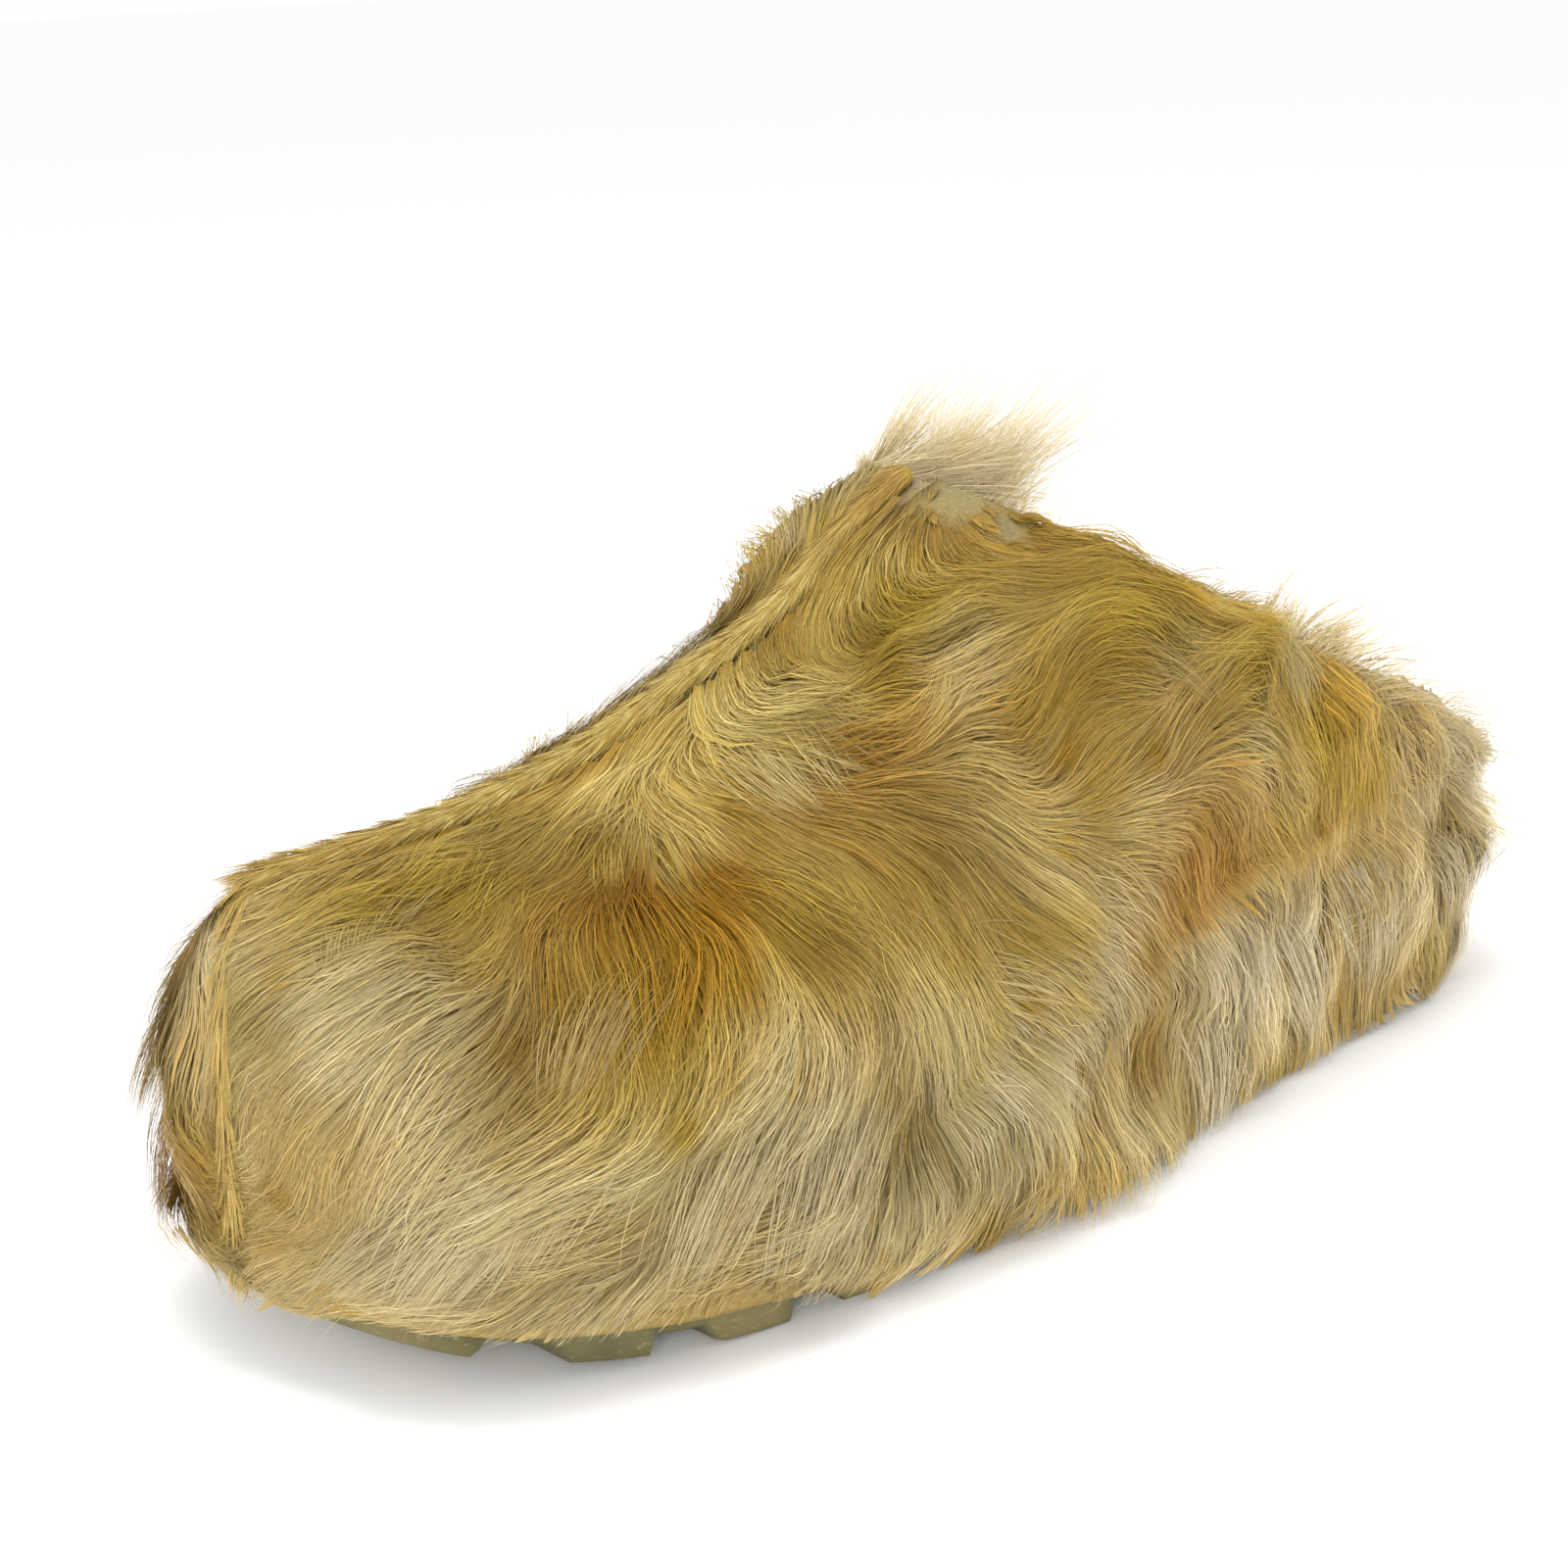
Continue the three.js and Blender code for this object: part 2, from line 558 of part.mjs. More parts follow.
// A lock lying on the coat of the vamp.
function vampLock({ side, at, up, back, rise, size }) {
  const path = [];
  const steps = 4;
  for (let k = 0; k <= steps; k++) {
    const share = k / steps;
    const reachBack = (back * share * size * LOCK_LENGTH) / 34;
    const place = THREE.MathUtils.clamp(at - reachBack, 0.02, 0.985);
    const curl = 0.05 * Math.sin(share * Math.PI);
    const height = THREE.MathUtils.clamp(up + rise * share + curl, 0.03, 0.95);
    const turn = turnOf(place);
    const normal = hideNormal(turn, side, height);
    const out = coatDepth(turn, side, height) - 1 + 1.6 * share;
    path.push({ point: hidePoint(turn, side, height).addScaledVector(normal, out), normal });
  }
  return lockAlong(path, LOCK_WIDTH * size, LOCK_THICKNESS * size);
}

// A tuft on the inner topline, standing up off the edge and blown back.
function toplineTuft({ at, back, lift, size }) {
  const path = [];
  const steps = 4;
  const side = -1;
  const turn = turnOf(at);
  const edge = toplineHeight(at, side) - 4;
  const up = upAtHeight(turn, side, edge);
  const normal = hideNormal(turn, side, up);
  const root = hidePoint(turn, side, up).addScaledVector(normal, LOCK_THICKNESS * 0.4);
  for (let k = 0; k <= steps; k++) {
    const share = k / steps;
    const point = root.clone();
    point.x -= share * back * SOLE_LENGTH * (TOPLINE_TUFT_LENGTH / 30);
    point.z += lift * Math.sin(share * 1.9);
    path.push({ point, normal });
  }
  return lockAlong(path, LOCK_WIDTH * size, LOCK_THICKNESS * size);
}

// How far up the side, from 0 to 1, the hide reaches a height.
function upAtHeight(turn, side, height) {
  let low = 0;
  let high = 1;
  for (let i = 0; i < 20; i++) {
    const middle = (low + high) / 2;
    if (hidePoint(turn, side, middle).z < height) low = middle;
    else high = middle;
  }
  return low;
}

// A lock hanging from the band down over the edge of the sole, swept towards the heel.
function bandLock(at, side, size, sweep) {
  const path = [];
  const steps = 4;
  const high = footbedTop(at) - 4;
  const low = hemHeight(at, side) - 1.5;
  for (let k = 0; k <= steps; k++) {
    const share = k / steps;
    const place = THREE.MathUtils.clamp(at - (sweep * share * size * LOCK_LENGTH) / 34, 0.01, 0.985);
    const turn = turnOf(place);
    const out = bandDepth(turn, side, share) - 1.2 + 1.5 * share;
    const p = outlinePoint(turn, side, out);
    const drop = Math.min(high - low, LOCK_LENGTH * 0.9);
    const top = low + drop;
    const edge = outlinePoint(turn, side, out + 1).sub(p);
    const normal = new THREE.Vector3(edge.x, edge.y, 0).normalize();
    path.push({ point: new THREE.Vector3(p.x, p.y, top - drop * share), normal });
  }
  return lockAlong(path, LOCK_WIDTH * size, LOCK_THICKNESS * size * 0.8);
}

// A long tuft at the heel, standing off the band and hanging.
function heelTuft({ turn, high, drop, size }) {
  const angle = THREE.MathUtils.degToRad(turn);
  const away = new THREE.Vector3(-Math.cos(angle), Math.sin(angle), 0);
  const side = turn >= 0 ? 1 : -1;
  const place = turnOf(0.004 + 0.07 * (Math.abs(turn) / 60) ** 2);
  const base = outlinePoint(place, side, 1.5);
  const top = footbedTop(0) - high;
  const reachOut = HEEL_TUFT_LENGTH * 0.26 * size;
  const fall = HEEL_TUFT_LENGTH * drop;
  const path = [];
  const steps = 4;
  for (let k = 0; k <= steps; k++) {
    const share = k / steps;
    const point = new THREE.Vector3(base.x, base.y, top - fall * share ** 1.2);
    point.addScaledVector(away, reachOut * Math.sin((share * Math.PI) / 1.4));
    path.push({ point, normal: away });
  }
  return lockAlong(path, LOCK_WIDTH * 1.5 * size, LOCK_THICKNESS * 1.5 * size);
}

function unite(solids) {
  return solids.reduce((joined, solid) => joined.add(solid));
}

// Grooves across the sole, between blocks centred on the two places where it rests.
function grooveCentres() {
  const blockRows = [
    { centre: HEEL_REST_AT, from: -2, to: 1 },
    { centre: BALL_REST_AT, from: -2, to: 2 },
  ];
  const centres = [];
  for (const { centre, from, to } of blockRows) {
    for (let k = from; k <= to; k++) centres.push(centre + ((k + 0.5) * LUG_PITCH) / SOLE_LENGTH);
  }
  return centres.filter((at) => at - HALF_GROOVE - DRAFT > 0.02 && at + HALF_GROOVE + DRAFT < 0.975);
}
const HALF_GROOVE = LUG_GROOVE / 2 / SOLE_LENGTH;
const DRAFT = 0.9 / SOLE_LENGTH;
const GROOVES = grooveCentres();
const inGroove = (at) => GROOVES.some((centre) => Math.abs(at - centre) <= HALF_GROOVE + 1e-6);

// The turns of the sole's columns: even ones, and one at each edge of a groove.
function soleTurns() {
  const edges = GROOVES.flatMap((at) => [
    at - HALF_GROOVE - DRAFT,
    at - HALF_GROOVE,
    at + HALF_GROOVE,
    at + HALF_GROOVE + DRAFT,
  ]);
  const clear = evenTurns.filter((turn) => edges.every((at) => Math.abs(turnOf(at) - turn) > 0.006));
  return [...clear, ...edges.map(turnOf)].sort((a, b) => a - b);
}

// The rubber sole: raised blocks and grooves under the foot, a scalloped lower edge, a plain upper edge.
function makeOutsole() {
  const lowest = (at) => underside(at) + (inGroove(at) ? LUG_DEPTH : 0);
  const scallop = (at) => (inGroove(at) ? EDGE_SCALLOP : 0);
  const rounding = (at) => TOE_ROUNDING * spring(at) ** 2;
  const levels = [
    { share: 0, lift: 0, inset: (at) => scallop(at) + EDGE_BEVEL + rounding(at) },
    { share: 0, lift: EDGE_BEVEL, inset: (at) => scallop(at) + rounding(at) * 0.6 },
    { share: 0.52, lift: 0, inset: (at) => scallop(at) * 0.8 + rounding(at) * 0.15 },
    { share: 0.62, lift: 0, inset: () => 0 },
    { share: 0.93, lift: 0, inset: () => 0 },
    { share: 1, lift: 0, inset: () => EDGE_BEVEL * 0.6 },
  ];
  const loops = levels.map(({ share, lift, inset }) =>
    loopOf(soleTurns(), (turn, side) => {
      const at = shareOf(turn);
      const p = outlinePoint(turn, side, -inset(at));
      const z = THREE.MathUtils.lerp(lowest(at), outsoleTop(at), share) + lift;
      return new THREE.Vector3(p.x, p.y, z);
    }),
  );
  return bodyOfLoops(loops);
}

// The platform between the sole and the foot, thick at the heel and thin at the toe.
function makeFootbed() {
  const levels = [
    { inset: 0, height: (at) => outsoleTop(at) + GAP },
    { inset: 0, height: (at) => footbedTop(at) - 1 },
    { inset: 1, height: footbedTop },
  ];
  const loops = levels.map(({ inset, height }) =>
    loopOf(evenTurns, (turn, side) => {
      const p = outlinePoint(turn, side, -inset);
      return new THREE.Vector3(p.x, p.y, height(shareOf(turn)));
    }),
  );
  return bodyOfLoops(loops);
}

// The leather insole: level in its middle, cupped up along its edge, more so under the arch.
function makeInsole() {
  const margin = HIDE_WALL + GAP + 0.2;
  const cup = (at, side) => {
    const arch = side < 0 ? THREE.MathUtils.smoothstep(at, 0.2, 0.36) - THREE.MathUtils.smoothstep(at, 0.45, 0.62) : 0;
    const heel = 1 - THREE.MathUtils.smoothstep(at, 0.3, 0.6);
    return INSOLE_CUP * Math.min(1.3, 0.25 + 0.55 * heel + 0.6 * arch);
  };
  const flat = (at) => footbedTop(at) + GAP + INSOLE_THICKNESS;
  const levels = [
    { inset: margin, height: (at) => footbedTop(at) + GAP },
    { inset: margin, height: (at, side) => flat(at) + cup(at, side) - 0.6 },
    { inset: margin + 0.8, height: (at, side) => flat(at) + cup(at, side) },
    { inset: margin + INSOLE_CUP_WIDTH, height: flat },
  ];
  const loops = levels.map(({ inset, height }) =>
    loopOf(evenTurns, (turn, side) => {
      const p = outlinePoint(turn, side, -inset);
      const steady = turn <= 0 || turn >= 1 ? 1 : side;
      return new THREE.Vector3(p.x, p.y, height(shareOf(turn), steady));
    }),
  );
  return bodyOfLoops(loops);
}

// The hide of the upper: one hollow wall, open at the collar and underneath.
function makeUpper() {
  const outside = formOverLast(() => 0, [seamLine]);
  const inside = formOverLast(() => -HIDE_WALL, [wellBelow, (at) => seamLine(at) - 1]);
  return outside.subtract(inside).subtract(openingBlock(0));
}

// The fur of one side of the vamp, with its locks fused on.
function makeVampFur(side) {
  const coat = formOverLast(coatDepth, [seamLine]);
  const locks = VAMP_LOCKS.filter((lock) => lock.side === side).map(vampLock);
  const tufts = side < 0 ? TOPLINE_TUFTS.map(toplineTuft) : [];
  const hide = formOverLast(() => GAP, [wellBelow, (at) => seamLine(at) - 1]);
  const shell = unite([coat.subtract(openingBlock(FUR_OVER_EDGE)), ...locks, ...tufts]);
  const below = formUnderSeam();
  return shell
    .intersect(sideBlock(side))
    .subtract(hide)
    .subtract(below)
    .subtract(seamStrip(SEAM_WIDTH + 2 * GAP));
}

// Everything under the seam line, with room to spare.
function formUnderSeam() {
  const samples = Array.from({ length: 41 }, (_, i) => -0.3 + (i / 40) * 1.6);
  const edge = samples.map((at) => [xOf(at), seamLine(THREE.MathUtils.clamp(at, 0, 1))]);
  return crossPrism([...edge.reverse(), [xOf(-0.3), -40], [xOf(1.3), -40]], BALL_WIDTH * 2);
}

// A ring round the platform between two heights, moved out by a depth.
function bandBody(depth, low, high) {
  const rows = 4;
  const loops = [];
  for (let row = 0; row <= rows; row++) {
    const down = 1 - row / rows;
    loops.push(
      loopOf(evenTurns, (turn, side) => {
        const at = shareOf(turn);
        const p = outlinePoint(turn, side, depth(turn, side, down));
        return new THREE.Vector3(p.x, p.y, THREE.MathUtils.lerp(high(at), low(at, side), down));
      }),
    );
  }
  return bodyOfLoops(loops);
}

// The sole and the platform with room round them, up to a height above the footbed.
function platformCore(above) {
  const loops = [wellBelow, (at) => footbedTop(at) + above].map((height) =>
    loopOf(soleTurns(), (turn, side) => {
      const p = outlinePoint(turn, side, GAP);
      return new THREE.Vector3(p.x, p.y, height(shareOf(turn)));
    }),
  );
  return bodyOfLoops(loops);
}

// The fur band that wraps the platform and hangs over the sole, with long tufts at the heel.
function makeFootbedFur() {
  const ring = bandBody(bandDepth, hemHeight, footbedTop);
  const locks = [];
  const count = 9;
  for (const side of [1, -1]) {
    for (let i = 0; i < count; i++) {
      const at = 0.13 + (0.7 * i) / (count - 1);
      const size = 1 + 0.2 * Math.sin(i * 2.3 + side);
      locks.push(bandLock(at, side, size, 0.03 + 0.015 * Math.sin(i * 1.7)));
    }
  }
  const tufts = HEEL_TUFTS.map(heelTuft);
  const strip = seamStrip(SEAM_WIDTH + 2 * GAP).intersect(toeBlock());
  return unite([ring, ...locks, ...tufts])
    .subtract(platformCore(20))
    .subtract(formAboveBand())
    .subtract(strip);
}

// Everything above the top of the footbed.
function formAboveBand() {
  const samples = Array.from({ length: 41 }, (_, i) => -0.3 + (i / 40) * 1.6);
  const edge = samples.map((at) => [xOf(at), footbedTop(THREE.MathUtils.clamp(at, 0, 1))]);
  const high = THROAT_HEIGHT * 2;
  return crossPrism([...edge, [xOf(1.3), high], [xOf(-0.3), high]], BALL_WIDTH * 2);
}

function toeBlock() {
  const far = BALL_WIDTH * 2;
  const start = xOf(0.8);
  return uprightPrism([[start, -far], [xOf(1.5), -far], [xOf(1.5), far], [start, far]], -40, THROAT_HEIGHT * 2);
}

// The raised centre seam: a low wide rib with a narrow crest, over the vamp and down the toe.
function makeSeamRidge() {
  const rib = (height, width) =>
    formOverLast((turn, side, up) => height - 0.6 * (1 - up), [hemHeight, seamLine]).intersect(seamStrip(width));
  const hide = formOverLast(() => GAP, [wellBelow, seamLine]);
  const reached = crossPrism(
    [[xOf(THROAT_AT - 0.1), 40], [xOf(0.9), 40], [xOf(0.9), -40], [xOf(1.3), -40], [xOf(1.3), 400], [xOf(THROAT_AT - 0.1), 400]],
    BALL_WIDTH,
  );
  return rib(SEAM_HEIGHT, SEAM_WIDTH)
    .add(rib(SEAM_CREST_HEIGHT, SEAM_CREST_WIDTH))
    .subtract(hide)
    .subtract(platformCore(0))
    .intersect(reached)
    .subtract(openingBlock(0));
}

// The largest body of a solid, so that no crumb cut loose by a cutter stays.
function mainBody(solid) {
  const bodies = solid.decompose().filter((body) => body.volume() > 0);
  bodies.sort((a, b) => b.volume() - a.volume());
  return bodies[0];
}

function meshOf(name, solid, { color, roughness }) {
  const { vertProperties, triVerts } = mainBody(solid).simplify(0.02).getMesh();
  const geometry = new THREE.BufferGeometry();
  geometry.setAttribute("position", new THREE.Float32BufferAttribute(vertProperties, 3));
  geometry.setIndex(Array.from(triVerts));
  geometry.computeVertexNormals();
  const material = new THREE.MeshStandardMaterial({ color, roughness, metalness: 0 });
  const mesh = new THREE.Mesh(geometry, material);
  mesh.name = name;
  return mesh;
}

const mule = new THREE.Group();
mule.name = "fur_mule";
mule.add(
  meshOf("outsole", makeOutsole(), MATERIALS.rubber),
  meshOf("footbed", makeFootbed(), MATERIALS.platform),
  meshOf("insole", makeInsole(), MATERIALS.leather),
  meshOf("upper", makeUpper(), MATERIALS.hide),
  meshOf("vamp_fur_outer", makeVampFur(1), MATERIALS.fur),
  meshOf("vamp_fur_inner", makeVampFur(-1), MATERIALS.fur),
  meshOf("footbed_fur", makeFootbedFur(), MATERIALS.fur),
  meshOf("centre_seam", makeSeamRidge(), MATERIALS.seam),
);

export default mule;
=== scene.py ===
"""Looks of a fur mule for the left foot: hair-on hide over a platform on a lugged rubber sole.

Lengths are millimetres in the shoe's own frame until a mesh is made, which is in metres.
A place on the hide is given by c and w. c runs round the foot: 0 at the heel, up to 1 along the
outer side to the toe, and on to 2 along the inner side. w is 1 at the ridge, 0 at the seam
between vamp and band, and -1 at the lower edge of the band.
"""
import math

import bpy
import numpy as np
from mathutils import Matrix, Vector, kdtree


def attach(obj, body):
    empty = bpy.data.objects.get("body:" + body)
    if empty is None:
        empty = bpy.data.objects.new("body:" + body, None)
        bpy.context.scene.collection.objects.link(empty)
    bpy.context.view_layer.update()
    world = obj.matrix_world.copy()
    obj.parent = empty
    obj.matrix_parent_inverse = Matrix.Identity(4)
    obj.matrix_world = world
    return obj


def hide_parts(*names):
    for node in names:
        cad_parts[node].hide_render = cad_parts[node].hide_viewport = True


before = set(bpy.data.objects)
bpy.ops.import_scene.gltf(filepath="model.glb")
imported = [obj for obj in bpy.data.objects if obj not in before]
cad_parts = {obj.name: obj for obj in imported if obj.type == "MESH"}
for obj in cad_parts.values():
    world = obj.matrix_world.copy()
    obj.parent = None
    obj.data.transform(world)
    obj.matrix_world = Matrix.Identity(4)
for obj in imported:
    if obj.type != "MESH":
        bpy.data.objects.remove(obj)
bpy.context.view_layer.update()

MM = 0.001
SIDE_NAMES = {1: "outer", -1: "inner"}

# Sizes of the sole and the platform
SOLE_LENGTH = 268.0
BALL_WIDTH = 98.0
HEEL_WIDTH = 70.0
TOE_SPRING = 8.0
WAIST_RISE = 2.5
OUTSOLE_THICKNESS = 13.0
TOE_THINNING = 4.0
LUG_PITCH = 24.0
LUG_GROOVE = 9.0
LUG_DEPTH = 2.5
EDGE_SCALLOP = 1.6
EDGE_BEVEL = 1.6
TOE_ROUNDING = 5.0
FOOTBED_TOE_THICKNESS = 6.0
FOOTBED_HEEL_THICKNESS = 36.0
INSOLE_THICKNESS = 3.0
INSOLE_CUP = 2.0
INSOLE_CUP_WIDTH = 9.0

# Sizes of the upper
HIDE_WALL = 2.4
LINING_WALL = 0.5
TOE_HEIGHT = 73.0
THROAT_HEIGHT = 114.0
HEEL_RIM_HEIGHT = 56.0
RIDGE_OFFSET = -4.0
SIDE_BULGE = 0.035
GAP = 0.3

# Sizes of the fur and the centre seam
FUR_EDGE_DEPTH = 3.6
FUR_DEPTH = 7.5
BAND_FUR_DEPTH = 6.5
BAND_HEM_HEIGHT = 6.0
BAND_HEM_DEPTH = 2.6
SEAM_HALF_WIDTH = 2.4
SEAM_HEIGHT = 3.6
HAIR_WIDTH = 0.16
WISP_WIDTH = 1.7
ROOT_SHARE = 0.4

# Places along the foot, as shares of the sole length from the heel
HEEL_REST_AT = 0.16
BALL_REST_AT = 0.7
SPRING_FROM = 0.735
SPINE_HEEL_AT = 0.05
SPINE_TOE_AT = 0.962
THROAT_AT = 0.455

OUTLINE = {
    "at": (0, 0.018, 0.056, 0.12, 0.21, 0.32, 0.43, 0.545, 0.64, 0.73, 0.825, 0.9, 0.952, 0.985, 1),
    "outer": (0, 0.54, 0.83, 1.0, 1.05, 1.03, 0.99, 0.99, 1.05, 1.06, 1.0, 0.87, 0.67, 0.39, 0),
    "inner": (0, 0.5, 0.79, 0.94, 0.94, 0.83, 0.79, 0.84, 0.92, 0.94, 0.88, 0.76, 0.59, 0.36, 0),
}
FOOTBED = {
    "at": (0, 0.22, 0.35, 0.47, 0.57, 0.667, 0.79, 0.9, 1),
    "rise": (1, 0.97, 0.85, 0.66, 0.46, 0.3, 0.16, 0.03, 0),
}
RIDGE = {
    "at": (0, 0.35, 0.455, 0.51, 0.57, 0.65, 0.725, 0.83, 0.962, 1),
    "rise": (1, 1.04, 1, 0.82, 0.56, 0.35, 0.17, 0.04, 0, 0),
    "fullness": (3.2, 3.2, 2.9, 2.6, 2.4, 2.4, 2.4, 2.5, 2.7, 2.7),
    "tent": (0, 0, 0.04, 0.12, 0.22, 0.27, 0.27, 0.24, 0.2, 0.2),
}
TOPLINE = {
    "at": (-0.1, 0.03, 0.09, 0.15, 0.21, 0.29, 0.36, 0.42, 0.448, 0.455),
    "outer": (0, 0, 0.08, 0.21, 0.34, 0.52, 0.66, 0.8, 0.92, 1),
    "inner": (0, 0, 0.09, 0.24, 0.42, 0.64, 0.8, 0.9, 0.96, 1),
}

# Swells of the coat: side, place along the foot and up the side, size along and across, depth
SWELLS = (
    (1, 0.55, 0.55, 0.07, 0.2, 3.0),
    (1, 0.66, 0.35, 0.06, 0.18, -2.5),
    (1, 0.8, 0.4, 0.07, 0.22, 2.2),
    (1, 0.91, 0.25, 0.05, 0.18, 1.8),
    (1, 0.38, 0.25, 0.06, 0.18, 2.2),
    (1, 0.26, 0.2, 0.05, 0.14, -2.0),
    (1, 0.15, 0.2, 0.05, 0.14, 3.0),
    (-1, 0.45, 0.5, 0.06, 0.2, 2.2),
    (-1, 0.62, 0.35, 0.07, 0.2, 2.4),
    (-1, 0.78, 0.4, 0.06, 0.2, -1.8),
    (-1, 0.97, 0.24, 0.05, 0.13, 4.5),
    (-1, 0.18, 0.2, 0.06, 0.16, 2.2),
)

# Flares of the band: side, place along the foot, size along, extra depth
FLARES = ((1, 0.48, 0.13, 7.0), (1, 0.2, 0.08, 1.5), (-1, 0.4, 0.12, 4.0))

# Lie of the hair in degrees: 0 to the heel, -90 down, -180 to the toe. One row for each w.
FLOW_AT = (0.05, 0.15, 0.25, 0.4, 0.5, 0.6, 0.7, 0.8, 0.9, 0.98)
FLOW_W = (-1.0, -0.4, 0.0, 0.15, 0.3, 0.45, 0.6, 0.75, 0.92)
FLOW_OUTER = (
    (-95, -100, -105, -115, -120, -130, -140, -140, -135, -135),
    (-90, -95, -100, -110, -115, -130, -140, -145, -135, -130),
    (-80, -85, -90, -70, -60, -110, -140, -140, -140, -130),
    (-75, -80, -75, -35, -38, -80, -130, -140, -140, -130),
    (-70, -75, -70, -50, -35, -48, -105, -135, -145, -130),
    (-65, -70, -65, -60, -32, -32, -60, -130, -150, -140),
    (-60, -60, -60, -70, -40, -30, -45, -135, -160, -150),
    (-55, -55, -60, -65, -80, -60, -80, -155, -170, -155),
    (-50, -50, -50, -60, -135, -155, -165, -170, -172, -160),
)
FLOW_INNER = (
    (-95, -100, -105, -110, -120, -130, -135, -140, -140, -135),
    (-90, -95, -100, -110, -120, -135, -145, -145, -140, -125),
    (-80, -85, -95, -110, -125, -140, -150, -150, -145, -120),
    (-75, -80, -85, -105, -130, -150, -155, -155, -150, -120),
    (-70, -75, -75, -80, -110, -140, -160, -160, -150, -125),
    (-65, -65, -65, -60, -70, -100, -150, -165, -160, -135),
    (-60, -55, -55, -50, -45, -50, -70, -150, -160, -145),
    (-50, -45, -45, -45, -35, -30, -25, -60, -150, -135),
    (-45, -40, -40, -40, -30, -25, -20, -40, -140, -130),
)


def linear(*rgb):
    """Scene colour of a screen colour given in 0 to 255."""
    shares = np.array(rgb, float) / 255
    return np.where(shares <= 0.04045, shares / 12.92, ((shares + 0.055) / 1.055) ** 2.4)


PALE = linear(208, 194, 156)
CREAM = linear(179, 164, 122)
WHEAT = linear(202, 180, 108)
STRAW = linear(172, 147, 62)
GOLD = linear(156, 126, 36)
OLIVE = linear(144, 118, 30)
OCHRE = linear(138, 96, 0)
ORANGE = linear(162, 122, 34)
PINK = linear(176, 136, 66)
YELLOW = linear(184, 150, 58)
BALD = linear(160, 148, 104)
TAN = linear(180, 146, 78)

# Patches of colour: side, at, w, size along, size across, colour, strength
PATCHES = (
    (1, 0.6, 0.75, 0.2, 0.4, GOLD, 0.7),
    (1, 0.78, 0.75, 0.1, 0.25, GOLD, 0.6),
    (1, 0.42, 0.45, 0.12, 0.25, GOLD, 0.7),
    (1, 0.96, 0.3, 0.07, 0.35, CREAM, 0.85),
    (1, 0.75, -0.5, 0.26, 0.8, CREAM, 0.9),
    (1, 0.97, -0.6, 0.08, 0.8, CREAM, 0.9),
    (1, 0.3, -0.5, 0.22, 0.42, PALE, 1.0),
    (1, 0.88, 0.32, 0.05, 0.14, GOLD, 0.7),
    (1, 0.785, 0.59, 0.058, 0.16, OCHRE, 1.3),
    (1, 0.83, 0.44, 0.035, 0.16, GOLD, 0.9),
    (1, 0.8, 0.45, 0.03, 0.08, OCHRE, 0.6),
    (1, 0.68, 0.42, 0.08, 0.12, OLIVE, 0.6),
    (1, 0.61, 0.67, 0.05, 0.09, OCHRE, 0.6),
    (1, 0.57, 0.86, 0.03, 0.06, OLIVE, 0.8),
    (1, 0.545, 0.74, 0.045, 0.1, OLIVE, 0.95),
    (1, 0.69, 0.88, 0.09, 0.12, WHEAT, 0.95),
    (1, 0.94, 0.85, 0.05, 0.14, GOLD, 0.6),
    (1, 0.54, 0.6, 0.03, 0.07, CREAM, 0.5),
    (1, 0.4, 0.02, 0.075, 0.09, PINK, 1.0),
    (1, 0.42, -0.08, 0.06, 0.05, ORANGE, 0.6),
    # The next two olive spots are painted shade, the darker colour between the curls
    (1, 0.45, 0.42, 0.045, 0.12, OLIVE, 0.7),
    (1, 0.365, 0.23, 0.035, 0.1, OLIVE, 0.8),
    (1, 0.25, 0.12, 0.04, 0.13, YELLOW, 0.85),
    (1, 0.15, 0.05, 0.05, 0.1, PINK, 0.4),
    (1, 0.03, -0.2, 0.05, 0.6, PALE, 1.0),
    (1, 0.47, -0.5, 0.025, 0.3, GOLD, 0.8),
    (-1, 0.97, 0.06, 0.05, 0.13, ORANGE, 1.0),
    (-1, 0.96, -0.4, 0.05, 0.4, STRAW, 0.55),
    # Pale inner toe: partly its cream colour, partly painted light that lifts this side where it lies in
    # shade
    (-1, 0.97, 0.65, 0.08, 0.35, PALE, 0.9),
    (-1, 0.7, 0.5, 0.12, 0.25, GOLD, 0.7),
    (-1, 0.55, 0.3, 0.08, 0.2, ORANGE, 0.4),
    (-1, 0.8, 0.1, 0.1, 0.2, PINK, 0.5),
    (-1, 0.38, 0.6, 0.12, 0.3, CREAM, 0.8),
    (-1, 0.3, -0.3, 0.12, 0.4, CREAM, 0.4),
)


def smooth(x, low, high):
    """0 below low, 1 above high, with soft ends between."""
    t = np.clip((x - low) / (high - low), 0, 1)
    return t * t * (3 - 2 * t)


def blend(low, high, share):
    return low + (high - low) * share


def mound(at, w, spot_at, spot_w, along, across):
    """1 in the middle of an oval spot on the hide, fading out round it."""
    return np.exp(-(((at - spot_at) / along) ** 2) - ((w - spot_w) / across) ** 2)


def table_value(table, column, at):
    """Smooth value of one table column at places along the foot."""
    places = np.asarray(table["at"], float)
    values = np.asarray(table[column], float)
    at = np.clip(at, places[0], places[-1])
    i = np.clip(np.searchsorted(places, at, side="left") - 1, 0, len(places) - 2)
    slope = np.zeros(len(places))
    slope[1:-1] = (values[2:] - values[:-2]) / (places[2:] - places[:-2])
    span = places[i + 1] - places[i]
    t = (at - places[i]) / span
    hold = 2 * t**3 - 3 * t**2 + 1
    leave = (t**3 - 2 * t**2 + t) * span * slope[i]
    arrive = (t**3 - t**2) * span * slope[i + 1]
    return hold * values[i] + (1 - hold) * values[i + 1] + leave + arrive


def turn_of(at):
    """The angle that makes a rounded end run evenly: 0 at the heel end, 1 at the toe end."""
    return np.arccos(1 - 2 * np.clip(at, 0, 1)) / np.pi


def share_of(turn):
    """Place along the foot at such an angle."""
    return (1 - np.cos(np.pi * turn)) / 2


